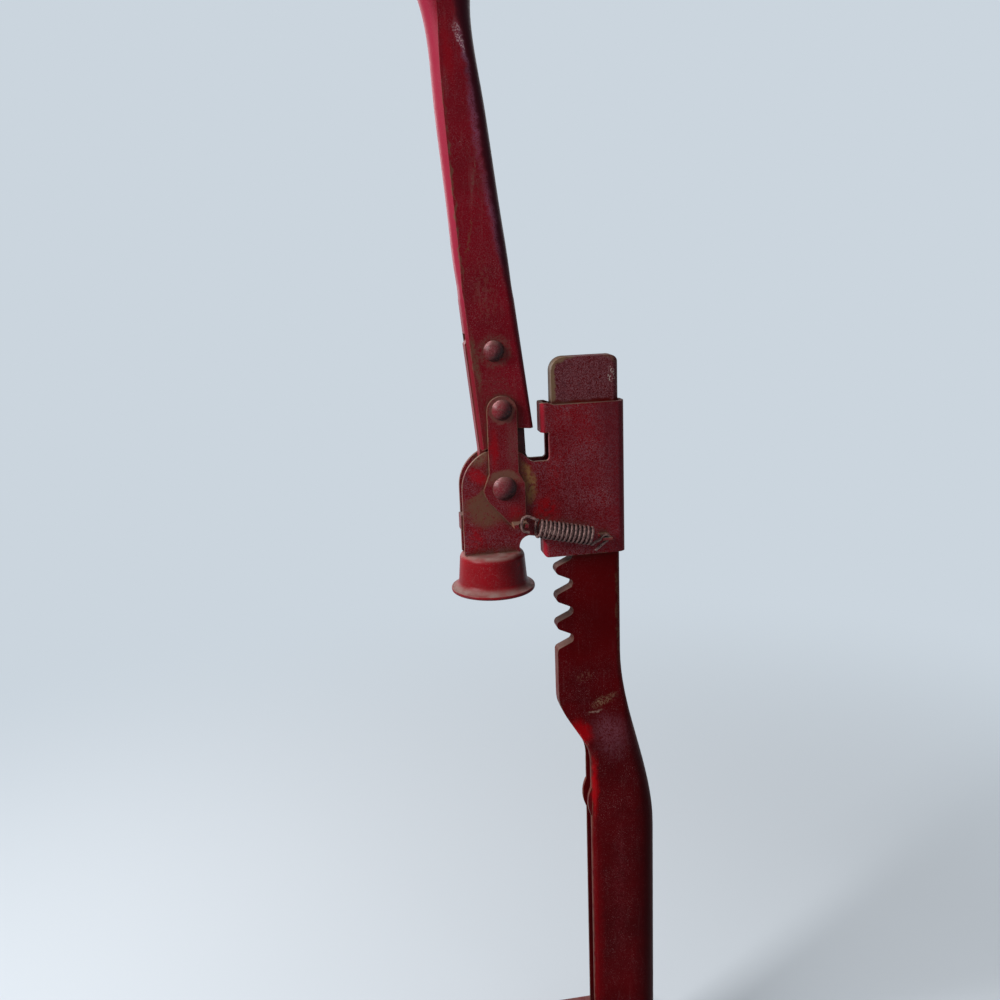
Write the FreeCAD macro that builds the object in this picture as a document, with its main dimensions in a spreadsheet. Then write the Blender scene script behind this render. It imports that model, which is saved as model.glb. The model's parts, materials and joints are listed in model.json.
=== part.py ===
import FreeCAD, Part
import math
import os
import Sketcher

doc = FreeCAD.newDocument("BottleCapper")
V = FreeCAD.Vector

# Driving sizes, in millimetres and degrees. The frame starts under the middle of the base plate.
# The bell's axis lies bell_off to its left, and places on the head and the lever count from the pivot.
SIZES = {
    "bell_off": 15.0, "pivot_off": 6.3, "pivot_z": 358.0,
    "tooth_pitch": 15.0, "pitch_radius": 30.2, "tooth_depth": 8.8, "flank_angle": 25.0,
    "mesh_phase": -8.9, "backlash": 0.9, "tip_gap": 0.9, "rack_teeth": 9, "sector_teeth": 2,
    "root_round": 2.5, "tip_round": 2.5,
    "column_sheet": 3.6, "rack_width": 34.6, "rack_above": 62.7, "top_corner": 7.0, "back_corner": 5.0,
    "channel_depth": 16.0, "front_joggle": 16.0, "back_joggle": 17.6, "front_round": 2.8,
    "nub_place": -178.5, "nub_length": 17.0, "nub_rise": 1.9,
    "foot_reach": 24.0, "foot_rivet_r": 3.0,
    "head_sheet": 2.1, "rack_play": 0.3, "side_play": 0.1, "arm_play": 0.2, "front_play": 4.0,
    "nose_left": 21.0, "nose_floor": 33.5, "arch_radius": 19.8, "notch_floor": 12.1, "notch_top": 26.1,
    "notch_width": 3.9, "sleeve_top": 39.8, "tab_rise": 1.1, "sleeve_drop": 38.2, "front_wall_top": 29.2,
    "cut_left": 7.5, "cut_top": 25.6, "arch_fillet": 4.0, "notch_fillet": 1.8, "sleeve_corner": 2.2,
    "tab_corner": 1.0,
    "hanger_top": 13.0, "hanger_height": 8.0, "hanger_length": 21.5,
    "bell_radius": 16.5, "rim_radius": 21.3, "bell_height": 20.0, "throat_radius": 14.3, "throat_length": 9.0,
    "bell_crown": 3.2, "bell_wall": 6.0, "rim_height": 2.0, "rim_flare": 3.6, "rim_round": 0.7,
    "stem_radius": 3.5, "stem_head": 8.0, "stem_rise": 3.0,
    "handle_lean": 5.95, "handle_shift": 5.2, "handle_width": 27.6, "handle_end": 262.0, "grip_width": 31.0,
    "grip_depth": 24.0, "neck_width": 20.6, "neck_depth": 17.0, "neck_height": 208.0, "handle_foot": 29.0,
    "handle_slot": 76.5,
    "link_sheet": 2.0, "link_width": 14.8, "link_eye": 10.3, "link_top": 46.0, "link_neck": 7.5,
    "tail_reach": 10.4, "tail_drop": 19.4, "tail_lip": 6.0, "tail_hole": 1.5,
    "rivet_radius": 3.0, "head_radius": 5.2, "head_rise": 3.2, "pivot_radius": 3.6, "pivot_head": 6.1,
    "upper_x": -2.6, "upper_z": 67.8, "lower_z": 39.2, "fit": 0.05,
    "spring_radius": 5.0, "wire_radius": 0.8, "spring_turns": 13, "spring_gap": 0.6,
    "hook_lead": 7.5, "ear_x": 50.4, "ear_z": -28.2, "ear_reach": 2.4, "ear_half": 0.6, "ear_hole": 1.4,
    "base_length": 158.0, "base_width": 106.0, "base_height": 12.0, "base_sheet": 2.5,
    "base_corner": 25.0, "seat_radius": 41.0, "seat_depth": 2.0, "pad_height": 3.0,
    "bench_hole_r": 2.75, "bench_hole_x": 126.0, "bench_hole_y": 84.0,
}

sheet = doc.addObject("Spreadsheet::Sheet", "Sizes")
for row, (alias, number) in enumerate(SIZES.items(), start=1):
    sheet.set("A%d" % row, alias)
    sheet.set("B%d" % row, str(number))
    sheet.setAlias("B%d" % row, alias)
doc.recompute()


class Size:
    """A length that carries its number and the expression that ties it to the sheet."""

    def __init__(self, number, text):
        self.number = float(number)
        self.text = text

    def __add__(self, other):
        other = as_size(other)
        return Size(self.number + other.number, "(%s + %s)" % (self.text, other.text))

    def __sub__(self, other):
        other = as_size(other)
        return Size(self.number - other.number, "(%s - %s)" % (self.text, other.text))

    def __mul__(self, other):
        other = as_size(other)
        return Size(self.number * other.number, "(%s * %s)" % (self.text, other.text))

    def __truediv__(self, other):
        other = as_size(other)
        return Size(self.number / other.number, "(%s / %s)" % (self.text, other.text))

    def __neg__(self):
        return Size(-self.number, "(0 - %s)" % self.text)

    __radd__ = __add__
    __rmul__ = __mul__

    def __rsub__(self, other):
        return as_size(other) - self


def as_size(value):
    """Turn a plain number into a Size, and leave a Size as it is."""
    return value if isinstance(value, Size) else Size(value, "%.6g" % value)


def cell(alias):
    """The Size that is held in a named cell of the sheet."""
    return Size(SIZES[alias], "Sizes.%s" % alias)


def root(value):
    """The square root of a Size."""
    return Size(math.sqrt(value.number), "sqrt(%s)" % value.text)


def tie(thing, path, value):
    """Bind a property of an object to a Size."""
    thing.setExpression(path, as_size(value).text)


parts = []


def piece(name, x=0.0, y=0.0, z=0.0):
    """An empty body for one sub-part, placed at a point of the frame."""
    body = doc.addObject("PartDesign::Body", name)
    body.Label = name
    for axis, value in zip("xyz", (x, y, z)):
        tie(body, "Placement.Base.%s" % axis, value)
    parts.append(body)
    return body


def sketch(body, name, role="XZ_Plane", lift=0.0):
    """A sketch on one of the body's own planes, lifted along that plane's normal."""
    drawing = body.newObject("Sketcher::SketchObject", name)
    plane = [f for f in body.Origin.OriginFeatures if f.Role == role][0]
    drawing.AttachmentSupport = [(plane, "")]
    drawing.MapMode = "FlatFace"
    tie(drawing, "AttachmentOffset.Base.z", lift)
    return drawing


def pin_point(drawing, geometry, vertex, x, y):
    """Hold one vertex of a sketch at its distances from the origin."""
    for kind, value in (("DistanceX", x), ("DistanceY", y)):
        value = as_size(value)
        index = drawing.addConstraint(Sketcher.Constraint(kind, -1, 1, geometry, vertex, value.number))
        drawing.setExpression("Constraints[%d]" % index, value.text)


def outline(drawing, *points):
    """A closed outline. A point is (x, y), or (x, y, radius) where an arc leads to it.

    A positive radius turns left along the way, a negative one turns right.
    """
    count = len(points)
    joints = []
    for number in range(count):
        start, end = points[number - 1], points[number]
        ax, ay = as_size(start[0]).number, as_size(start[1]).number
        bx, by = as_size(end[0]).number, as_size(end[1]).number
        if len(end) == 2:
            index = drawing.addGeometry(Part.LineSegment(V(ax, ay, 0), V(bx, by, 0)), False)
            joints.append((index, 1, 2))
            continue
        radius = as_size(end[2])
        chord = math.hypot(bx - ax, by - ay)
        rise = math.sqrt(max(radius.number ** 2 - chord ** 2 / 4, 0.0))
        side = math.copysign(1.0, radius.number)
        cx = (ax + bx) / 2 - side * rise * (by - ay) / chord
        cy = (ay + by) / 2 + side * rise * (bx - ax) / chord
        circle = Part.Circle(V(cx, cy, 0), V(0, 0, 1), abs(radius.number))
        first, last = math.atan2(ay - cy, ax - cx), math.atan2(by - cy, bx - cx)
        if side > 0:
            index = drawing.addGeometry(Part.ArcOfCircle(circle, first, last), False)
            joints.append((index, 1, 2))
        else:
            index = drawing.addGeometry(Part.ArcOfCircle(circle, last, first), False)
            joints.append((index, 2, 1))
        if chord > abs(radius.number) * 1.9999:
            kind, first, last = ("DistanceX", start[0], end[0]) if abs(by - ay) > abs(bx - ax) \
                else ("DistanceY", start[1], end[1])
            middle = (as_size(first) + last) / 2
            held = drawing.addConstraint(Sketcher.Constraint(kind, -1, 1, index, 3, middle.number))
            drawing.setExpression("Constraints[%d]" % held, middle.text)
        else:
            size = radius if side > 0 else -radius
            held = drawing.addConstraint(Sketcher.Constraint("Radius", index, abs(radius.number)))
            drawing.setExpression("Constraints[%d]" % held, size.text)
    for number in range(count):
        here, after = joints[number - 1], joints[number]
        drawing.addConstraint(Sketcher.Constraint("Coincident", here[0], here[2], after[0], after[1]))
        pin_point(drawing, after[0], after[1], *points[number - 1][:2])


def disc(drawing, x, y, radius):
    """A full circle in a sketch."""
    centre = V(as_size(x).number, as_size(y).number, 0)
    index = drawing.addGeometry(Part.Circle(centre, V(0, 0, 1), as_size(radius).number), False)
    pin_point(drawing, index, 3, x, y)
    held = drawing.addConstraint(Sketcher.Constraint("Radius", index, as_size(radius).number))
    drawing.setExpression("Constraints[%d]" % held, as_size(radius).text)


def extrude(body, kind, name, drawing, length, symmetric=True, reverse=False):
    """A pad or a pocket of a sketch, on both sides of its plane or on one."""
    feature = body.newObject("PartDesign::%s" % kind, name)
    feature.Profile = drawing
    feature.Midplane = symmetric
    feature.Reversed = reverse
    tie(feature, "Length", length)
    body.Tip = feature
    return feature


def cut_away(body, name, drawing, length, symmetric=True, reverse=False):
    """A pocket that has to take something away."""
    doc.recompute()
    before = body.Shape.Volume
    feature = extrude(body, "Pocket", name, drawing, length, symmetric, reverse)
    doc.recompute()
    if not body.Shape.Volume < before - 0.01:
        raise RuntimeError("%s cuts nothing" % name)
    return feature


def corner_cut(body, name, x, z, radius, side_x, side_z):
    """Round an outer corner of a side view right through. The sides say which way the corner points."""
    drawing = sketch(body, name + "Side")
    outline(drawing,
            (x + side_x, z + side_z), (x - radius * side_x, z + side_z), (x - radius * side_x, z),
            (x, z - radius * side_z, radius * (-side_x * side_z)), (x + side_x, z - radius * side_z))
    return cut_away(body, name, drawing, cell("base_width"))


def edges_where(body, test):
    """Names of the edges of a body, in its own coordinates, whose middle point and direction pass a test."""
    doc.recompute()
    found = []
    for number, edge in enumerate(body.Tip.Shape.Edges, start=1):
        middle = edge.valueAt((edge.FirstParameter + edge.LastParameter) / 2)
        run = edge.tangentAt((edge.FirstParameter + edge.LastParameter) / 2)
        if test(middle, run):
            found.append("Edge%d" % number)
    return found


def round_edges(body, name, radius, test):
    """A fillet on the edges that pass a test."""
    base = body.Tip
    names = edges_where(body, test)
    if not names:
        raise RuntimeError("%s finds no edge" % name)
    fillet = body.newObject("PartDesign::Fillet", name)
    fillet.Base = (base, names)
    tie(fillet, "Radius", radius)
    body.Tip = fillet
    return fillet


def along(run, axis):
    """Whether an edge runs along an axis."""
    return abs(getattr(run, axis)) > 0.99


def ring_of(body, name, drawing):
    """A full turn of a sketch on the XZ plane about its upright axis."""
    feature = body.newObject("PartDesign::Revolution", name)
    feature.Profile = drawing
    feature.ReferenceAxis = (drawing, ["V_Axis"])
    feature.Angle = 360.0
    body.Tip = feature
    return feature


bell_x = -cell("bell_off")
pivot_x, pivot_z = bell_x + cell("pivot_off"), cell("pivot_z")
rack_thick = cell("column_sheet") * 2
inner_gap = rack_thick + cell("rack_play") * 2
cheek_half = inner_gap / 2 + cell("head_sheet")
arm_thick = inner_gap - cell("arm_play") * 2
handle_half = cheek_half + cell("side_play")
rack_front = cell("pitch_radius") - cell("tooth_depth") / 2
rack_back = rack_front + cell("rack_width")
base_top = cell("base_height")

# Base plate: pressed sheet with a turned-down skirt, a round seat for the bottle and four bench holes.
base = piece("base_plate")
half_length, half_width, corner = cell("base_length") / 2, cell("base_width") / 2, cell("base_corner")


def rounded_box(drawing, half_x, half_y, radius):
    """A rectangle with round corners about the origin."""
    outline(drawing,
            (half_x - radius, -half_y), (half_x, radius - half_y, radius),
            (half_x, half_y - radius), (half_x - radius, half_y, radius),
            (radius - half_x, half_y), (-half_x, half_y - radius, radius),
            (-half_x, radius - half_y), (radius - half_x, -half_y, radius))


plan = sketch(base, "BasePlan", "XY_Plane")
rounded_box(plan, half_length, half_width, corner)
extrude(base, "Pad", "BaseBlank", plan, base_top, symmetric=False)
round_edges(base, "BaseBend", cell("base_sheet") * 1.8, lambda p, t: p.z > SIZES["base_height"] - 0.01)
hollow = sketch(base, "BaseHollow", "XY_Plane")
wall = cell("base_sheet")
rounded_box(hollow, half_length - wall, half_width - wall, corner - wall)
cut_away(base, "BaseInside", hollow, base_top - wall, symmetric=False, reverse=True)
boss = sketch(base, "SeatBoss", "XY_Plane", base_top - wall - cell("seat_depth"))
disc(boss, bell_x, 0, cell("seat_radius") + wall)
extrude(base, "Pad", "SeatPressing", boss, cell("seat_depth") + wall / 2, symmetric=False)
seat = sketch(base, "SeatRecess", "XY_Plane", base_top - cell("seat_depth"))
disc(seat, bell_x, 0, cell("seat_radius"))
cut_away(base, "SeatHollow", seat, cell("seat_depth") * 2, symmetric=False, reverse=True)
bench = sketch(base, "BenchHoles", "XY_Plane")
for sign_x in (-1, 1):
    for sign_y in (-1, 1):
        disc(bench, cell("bench_hole_x") * (sign_x / 2), cell("bench_hole_y") * (sign_y / 2),
             cell("bench_hole_r"))
cut_away(base, "BenchDrilling", bench, base_top * 3)

# Bottle pad: rubber disc that lies in the seat.
pad = piece("bottle_pad", x=bell_x, z=base_top - cell("seat_depth"))
pad_plan = sketch(pad, "PadPlan", "XY_Plane")
disc(pad_plan, 0, 0, cell("seat_radius") - 0.5)
extrude(pad, "Pad", "PadDisc", pad_plan, cell("pad_height"), symmetric=False)
round_edges(pad, "PadEdge", 0.8, lambda p, t: p.z > SIZES["pad_height"] - 0.01)

# Column: one folded sheet. Its front edges lie at the rack's tips, so x counts from there.
column = piece("column", x=pivot_x + rack_front)


def ease(share):
    """A smooth step from 0 to 1."""
    share = min(max(share, 0.0), 1.0)
    return share * share * (3 - 2 * share)


# Heights between which the front edge moves back, the back edge moves out and the two layers part.
FRONT_BEND = (-154.0, -116.0)
BACK_BEND = (-198.0, -94.0)
SPREAD = (-146.0, -121.0)
ROUND_START = -118.0
HOLLOW_START = -127.0
LOFT_STEP = 6.0
FRONT_OPEN = 8.0


def bend_share(height, span):
    """How far a bend has come at a height above the pivot."""
    return 1 - ease((height - span[0]) / (span[1] - span[0]))


def channel_section(body, name, height, inset=0.0, front_open=0.0, rounded=False):
    """The column's outline at a height: straight sides, a half-round back, and front corners square or round."""
    share = bend_share(height, SPREAD)
    half = rack_thick / 2 + (cell("channel_depth") - rack_thick) / 2 * share - inset
    front = cell("front_joggle") * bend_share(height, FRONT_BEND) - front_open
    back = cell("rack_width") + cell("back_joggle") * bend_share(height, BACK_BEND) - inset
    drawing = sketch(body, name, "XY_Plane", pivot_z + height)
    if rounded:
        radius = cell("front_round") * max(share, 0.02)
        outline(drawing, (front + radius, -half, radius), (back - half, -half), (back - half, half, half),
                (front + radius, half), (front, half - radius, radius), (front, radius - half))
    else:
        outline(drawing, (front, -half), (back - half, -half), (back - half, half, half), (front, half))
    return drawing


def steps_between(start, end):
    """Heights from one level down to another, about a loft step apart."""
    count = max(int(round(abs(end - start) / LOFT_STEP)), 2)
    return [start + (end - start) * number / count for number in range(count + 1)]


def loft(body, kind, name, drawings, ruled=False):
    """An added or cutting loft through a row of sketches."""
    feature = body.newObject("PartDesign::%s" % kind, name)
    feature.Profile = drawings[0]
    feature.Sections = [(drawing, [""]) for drawing in drawings[1:]]
    feature.Ruled = ruled
    body.Tip = feature
    return feature


bend_top, bend_foot = BACK_BEND[1], BACK_BEND[0]
rack_blank = channel_section(column, "RackSection", bend_top)
extrude(column, "Pad", "RackBlank", rack_blank, cell("rack_above") - bend_top, symmetric=False)
flat_part = [channel_section(column, "Joggle%d" % n, z)
             for n, z in enumerate(steps_between(bend_top, ROUND_START))]
loft(column, "AdditiveLoft", "JoggleLoft", flat_part)
folded_part = [channel_section(column, "Spread%d" % n, z, rounded=True)
               for n, z in enumerate(steps_between(ROUND_START, bend_foot))]
loft(column, "AdditiveLoft", "SpreadLoft", folded_part)
channel = channel_section(column, "ChannelSection", bend_foot, rounded=True)
extrude(column, "Pad", "ChannelBlank", channel, pivot_z + bend_foot - base_top, symmetric=False, reverse=True)

# A low nub on each flange's front edge, left by the press.
nub = sketch(column, "NubSide")
nub_half, nub_rise, nub_z = cell("nub_length") / 2, cell("nub_rise"), pivot_z + cell("nub_place")
nub_radius = (nub_half * nub_half + nub_rise * nub_rise) / (nub_rise * 2)
flange_front = cell("front_joggle")
outline(nub, (flange_front + 1, nub_z - nub_half), (flange_front + 1, nub_z + nub_half),
        (flange_front, nub_z + nub_half), (flange_front, nub_z - nub_half, nub_radius))
extrude(column, "Pad", "FlangeNubs", nub, cell("channel_depth") - cell("front_round"))

# The channel's hollow opens to the front and closes upwards where the two layers meet.
inner = [channel_section(column, "Hollow%d" % n, z, cell("column_sheet"), FRONT_OPEN)
         for n, z in enumerate(steps_between(HOLLOW_START, bend_foot))]
loft(column, "SubtractiveLoft", "HollowLoft", inner)
hollow_low = channel_section(column, "HollowSection", bend_foot, cell("column_sheet"), FRONT_OPEN)
cut_away(column, "ChannelHollow", hollow_low, pivot_z + bend_foot, symmetric=False, reverse=False)

# Feet: the channel's two sides turned outwards at the bottom.
foot_front = cell("front_joggle")
foot_back = cell("rack_width") + cell("back_joggle") - cell("channel_depth") / 2
foot_plan = sketch(column, "FootPlan", "XY_Plane", base_top)
side_in = cell("channel_depth") / 2 - cell("column_sheet")
side_out = cell("channel_depth") / 2 + cell("foot_reach")
for sign in (1, -1):
    outline(foot_plan, (foot_front, side_in * sign), (foot_back, side_in * sign),
            (foot_back, side_out * sign), (foot_front, side_out * sign))
extrude(column, "Pad", "Feet", foot_plan, cell("column_sheet"), symmetric=False)
foot_rivet_y = cell("channel_depth") / 2 + cell("foot_reach") * 0.55
foot_rivet_x = [foot_front + (foot_back - foot_front) * share for share in (0.22, 0.78)]
foot_holes = sketch(column, "FootHoles", "XY_Plane", base_top)
for sign in (1, -1):
    for place in foot_rivet_x:
        disc(foot_holes, place, foot_rivet_y * sign, cell("foot_rivet_r") + cell("fit"))
cut_away(column, "FootDrilling", foot_holes, cell("column_sheet") * 3)
round_edges(column, "TopCorner", cell("top_corner"),
            lambda p, t: along(t, "y") and p.x < 0.01 and p.z > SIZES["pivot_z"] + SIZES["rack_above"] - 0.01)
corner_cut(column, "BackCorner", cell("rack_width"), pivot_z + cell("rack_above"), cell("back_corner"), 1, 1)

# Rack: each tooth space has straight flanks, a rounded root and rounded tips, and repeats at the pitch.
flank = math.radians(SIZES["flank_angle"])
depth = cell("tooth_depth")
mouth = cell("tooth_pitch") / 4 + depth * (math.tan(flank) / 2)
floor = cell("tooth_pitch") / 4 - depth * (math.tan(flank) / 2)
space_z = pivot_z + cell("mesh_phase") + cell("tooth_pitch") * 2
tip_r, root_r = cell("tip_round"), cell("root_round")
tip_run, root_run = tip_r * math.tan((math.pi / 2 - flank) / 2), root_r * math.tan((math.pi / 2 - flank) / 2)
tip_x, tip_z = tip_run * math.cos(flank), mouth - tip_run * math.sin(flank)
low_x, low_z = depth - root_run * math.cos(flank), floor + root_run * math.sin(flank)
tooth = sketch(column, "ToothSpace")
outline(tooth,
        (-1, space_z - mouth - tip_run), (0, space_z - mouth - tip_run), (tip_x, space_z - tip_z, -tip_r),
        (low_x, space_z - low_z), (depth, space_z - floor + root_run, root_r),
        (depth, space_z + floor - root_run), (low_x, space_z + low_z, root_r),
        (tip_x, space_z + tip_z), (0, space_z + mouth + tip_run, -tip_r), (-1, space_z + mouth + tip_run))
cut_away(column, "ToothCut", tooth, cell("channel_depth"))
rack = column.newObject("PartDesign::LinearPattern", "Rack")
rack.Originals = [doc.ToothCut]
rack.Direction = ([f for f in column.Origin.OriginFeatures if f.Role == "Z_Axis"][0], [""])
rack.Reversed = True
rack.Occurrences = int(SIZES["rack_teeth"])
tie(rack, "Length", cell("tooth_pitch") * (cell("rack_teeth") - 1))
column.Tip = rack

# Head shell: one folded sheet, open at the nose. Two cheeks, a closed back and two front walls.
shell = piece("head_shell", x=pivot_x, z=pivot_z)
front_face = rack_front - cell("front_play") - cell("head_sheet")
shell_back = rack_back + cell("rack_play") + cell("head_sheet")
notch_side = front_face + cell("notch_width")
arch_x = cell("arch_radius") - cell("nose_left")
arch_foot = arch_x + root(cell("arch_radius") * cell("arch_radius")
                          - cell("notch_floor") * cell("notch_floor"))
cheek = sketch(shell, "CheekOutline")
outline(cheek,
        (-cell("nose_left"), -cell("nose_floor")), (cell("cut_left"), -cell("nose_floor")),
        (cell("cut_left") + 4.6, -cell("cut_top"), -5.6), (front_face - 2.0, -cell("cut_top") - 1.0),
        (front_face, -cell("front_wall_top")), (front_face, -cell("sleeve_drop")),
        (shell_back, -cell("sleeve_drop")), (shell_back, cell("sleeve_top")),
        (notch_side, cell("sleeve_top")), (notch_side, cell("notch_floor")),
        (arch_foot, cell("notch_floor")), (-cell("nose_left"), 0.0, cell("arch_radius")))
extrude(shell, "Pad", "ShellBlank", cheek, cheek_half * 2)
tab = sketch(shell, "TabOutline")
outline(tab, (front_face, cell("notch_top")), (notch_side + 3, cell("notch_top")),
        (notch_side + 3, cell("sleeve_top")), (notch_side, cell("sleeve_top") + cell("tab_rise")),
        (front_face, cell("sleeve_top") + cell("tab_rise")))
extrude(shell, "Pad", "FrontTab", tab, cheek_half * 2)
inside = sketch(shell, "ShellHollow")
wall_in = front_face + cell("head_sheet")
outline(inside,
        (shell_back - cell("head_sheet"), -60), (wall_in, -60), (wall_in, -cell("front_wall_top") + 0.01),
        (front_face - 1.0, -cell("front_wall_top") + 0.01), (front_face - 1.0, -60), (-40, -60),
        (-40, cell("notch_top") - 0.01), (wall_in, cell("notch_top") - 0.01), (wall_in, 60),
        (shell_back - cell("head_sheet"), 60))
cut_away(shell, "ShellInside", inside, inner_gap)
back_x = shell_back.number
front_x = front_face.number
half_y = cheek_half.number
round_edges(shell, "BackFold", cell("head_sheet") * 2,
            lambda p, t: along(t, "z") and abs(p.x - back_x) < 0.01)
round_edges(shell, "FrontFold", cell("head_sheet") * 1.3,
            lambda p, t: along(t, "z") and abs(p.x - front_x) < 0.01 and abs(abs(p.y) - half_y) < 0.01)
round_edges(shell, "ArchFoot", cell("arch_fillet"),
            lambda p, t: along(t, "y") and abs(p.x - arch_foot.number) < 0.01
            and abs(p.z - SIZES["notch_floor"]) < 0.01)
round_edges(shell, "NotchCorner", cell("notch_fillet"),
            lambda p, t: along(t, "y") and abs(p.x - notch_side.number) < 0.01
            and abs(p.z - SIZES["notch_floor"]) < 0.01)
corner_cut(shell, "SleeveCorner", front_face, -cell("sleeve_drop"), cell("sleeve_corner"), -1, -1)
corner_cut(shell, "TabCorner", front_face, cell("sleeve_top") + cell("tab_rise"), cell("tab_corner"), -1, 1)
pivot_hole = sketch(shell, "PivotHole")
disc(pivot_hole, 0, 0, cell("pivot_radius"))
cut_away(shell, "PivotDrilling", pivot_hole, cheek_half * 4)
ear = sketch(shell, "SpringEar", "XZ_Plane", cheek_half)
ear_x, ear_z = cell("ear_x"), cell("ear_z")
ear_reach, ear_half = cell("ear_reach"), cell("ear_half")
outline(ear, (ear_x - ear_reach, ear_z - ear_half), (ear_x + ear_reach, ear_z - ear_half),
        (ear_x + ear_reach, ear_z + ear_half), (ear_x - ear_reach, ear_z + ear_half))
spring_off = cell("spring_radius") + cell("spring_gap") + cell("link_sheet") + cell("side_play")
extrude(shell, "Pad", "EarPad", ear, spring_off + cell("ear_hole") + 0.8, symmetric=False)
ear_hole = sketch(shell, "EarHole", "XY_Plane", ear_z)
disc(ear_hole, ear_x, -(cheek_half + spring_off), cell("ear_hole"))
cut_away(shell, "EarDrilling", ear_hole, 6.0)

# Bell hanger: a bar between the cheeks. The bell's stem passes through it.
hanger = piece("bell_hanger", x=pivot_x, z=pivot_z)
bar = sketch(hanger, "HangerSide")
bar_left = -cell("nose_left") - 1.0
outline(bar, (bar_left, -cell("hanger_top") - cell("hanger_height")),
        (bar_left + cell("hanger_length"), -cell("hanger_top") - cell("hanger_height")),
        (bar_left + cell("hanger_length"), -cell("hanger_top")), (bar_left, -cell("hanger_top")))
extrude(hanger, "Pad", "HangerBar", bar, inner_gap)
stem_bore = sketch(hanger, "StemBore", "XY_Plane")
disc(stem_bore, -cell("pivot_off"), 0, cell("stem_radius"))
cut_away(hanger, "StemDrilling", stem_bore, cell("hanger_top") * 6)

# Crimping bell: turned, with a rounded crown, a throat and a flared mouth.
bell = piece("crown_bell", x=bell_x, z=pivot_z - cell("nose_floor"))
turned = sketch(bell, "BellProfile")
bell_wall, bell_foot, flare = cell("bell_wall"), -cell("bell_height"), cell("rim_flare")
outer_r, crown = cell("bell_radius"), cell("bell_crown")
rim_r, rim_top, rim_round = cell("rim_radius"), cell("rim_height") - cell("bell_height"), cell("rim_round")
outline(turned,
        (cell("stem_radius"), -bell_wall), (cell("throat_radius"), -bell_wall),
        (cell("throat_radius"), -bell_wall - cell("throat_length")),
        (rim_r - 3.4, bell_foot), (rim_r - rim_round, bell_foot), (rim_r, bell_foot + rim_round, rim_round),
        (rim_r, rim_top - rim_round), (rim_r - rim_round, rim_top, rim_round),
        (outer_r + 0.9, rim_top + flare, -5.0),
        (outer_r, -crown), (outer_r - crown, 0, crown), (cell("stem_radius"), 0))
ring_of(bell, "BellTurning", turned)

# Bell stem: a rivet whose head lies inside the bell.
stem = piece("bell_rivet", x=bell_x, z=pivot_z - cell("nose_floor"))
stem_side = sketch(stem, "StemProfile")
stem_head, stem_rise = cell("stem_head"), cell("stem_rise")
outline(stem_side, (0, -bell_wall - stem_rise), (stem_head * 0.75, -bell_wall - stem_rise * 0.8),
        (stem_head, -bell_wall), (cell("stem_radius"), -bell_wall),
        (cell("stem_radius"), cell("nose_floor") - cell("hanger_top")),
        (0, cell("nose_floor") - cell("hanger_top")))
ring_of(stem, "StemTurning", stem_side)

# Lever arm: a thick plate with a round hub and two teeth that roll on the rack.
arm = piece("lever_arm", x=pivot_x, z=pivot_z)
hub = cell("hanger_top") - 1.0
blade = sketch(arm, "ArmOutline")
PR, PITCH = SIZES["pitch_radius"], SIZES["tooth_pitch"]
step_angle = PITCH / PR
first_angle = SIZES["mesh_phase"] / PR
hub_r = cell("pitch_radius") - cell("tooth_depth") / 2 - cell("tip_gap")
top_edge = first_angle + step_angle * 0.5
low_edge = first_angle - step_angle * (SIZES["sector_teeth"] - 0.5)
outline(blade, (-hub, 0), (-hub * 0.5, -hub * 0.866, hub), (hub * 0.25, -hub * 0.968, hub),
        (hub_r * math.cos(low_edge), hub_r * math.sin(low_edge)),
        (hub_r * math.cos(top_edge), hub_r * math.sin(top_edge), hub_r),
        (12.1, 16.0, -50.0), (11.6, 29.5), (6.9, 80.0), (-11.0, 80.0), (-13.4, 75.5), (-16.3, 71.5),
        (-11.2, 19.0))
extrude(arm, "Pad", "ArmPlate", blade, arm_thick)


def gear_tooth(drawing, angle):
    """One tooth about an angle: flanks as involutes of the pressure angle, in three chords, and a flat tip."""
    pressure = math.radians(SIZES["flank_angle"])
    base_r = PR * math.cos(pressure)
    half_pitch = (PITCH / 2 - SIZES["backlash"]) / 2 / PR
    grow = half_pitch + math.tan(pressure) - pressure
    low = PR - SIZES["tooth_depth"] / 2 - SIZES["tip_gap"] - 0.5
    high = PR + SIZES["tooth_depth"] / 2 - SIZES["tip_gap"]
    flank = []
    for step in range(6):
        radius = low + (high - low) * step / 5
        roll = math.acos(min(base_r / radius, 1.0))
        flank.append((radius, grow - (math.tan(roll) - roll)))
    right = [V(r * math.cos(angle - a), r * math.sin(angle - a), 0) for r, a in flank]
    left = [V(r * math.cos(angle + a), r * math.sin(angle + a), 0) for r, a in reversed(flank)]
    for side in (right, left):
        curve = Part.BSplineCurve()
        curve.interpolate(side)
        drawing.addGeometry(curve, False)
    drawing.addGeometry(Part.LineSegment(right[-1], left[0]), False)
    drawing.addGeometry(Part.LineSegment(left[-1], right[0]), False)


tooth_side = sketch(arm, "SectorTooth")
gear_tooth(tooth_side, first_angle)
extrude(arm, "Pad", "SectorToothPad", tooth_side, arm_thick)
doc.recompute()
sector = arm.newObject("PartDesign::PolarPattern", "Sector")
sector.Originals = [doc.SectorToothPad]
sector.Axis = ([f for f in arm.Origin.OriginFeatures if f.Role == "Y_Axis"][0], [""])
sector.Occurrences = int(SIZES["sector_teeth"])
sector.Angle = math.degrees(step_angle) * (SIZES["sector_teeth"] - 1)
sector.Reversed = False
arm.Tip = sector
arm_holes = sketch(arm, "ArmHoles")
disc(arm_holes, 0, 0, cell("pivot_radius") + cell("fit"))
disc(arm_holes, cell("upper_x"), cell("upper_z"), cell("rivet_radius"))
disc(arm_holes, 0, cell("lower_z"), cell("rivet_radius"))
cut_away(arm, "ArmDrilling", arm_holes, arm_thick * 2)

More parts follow.
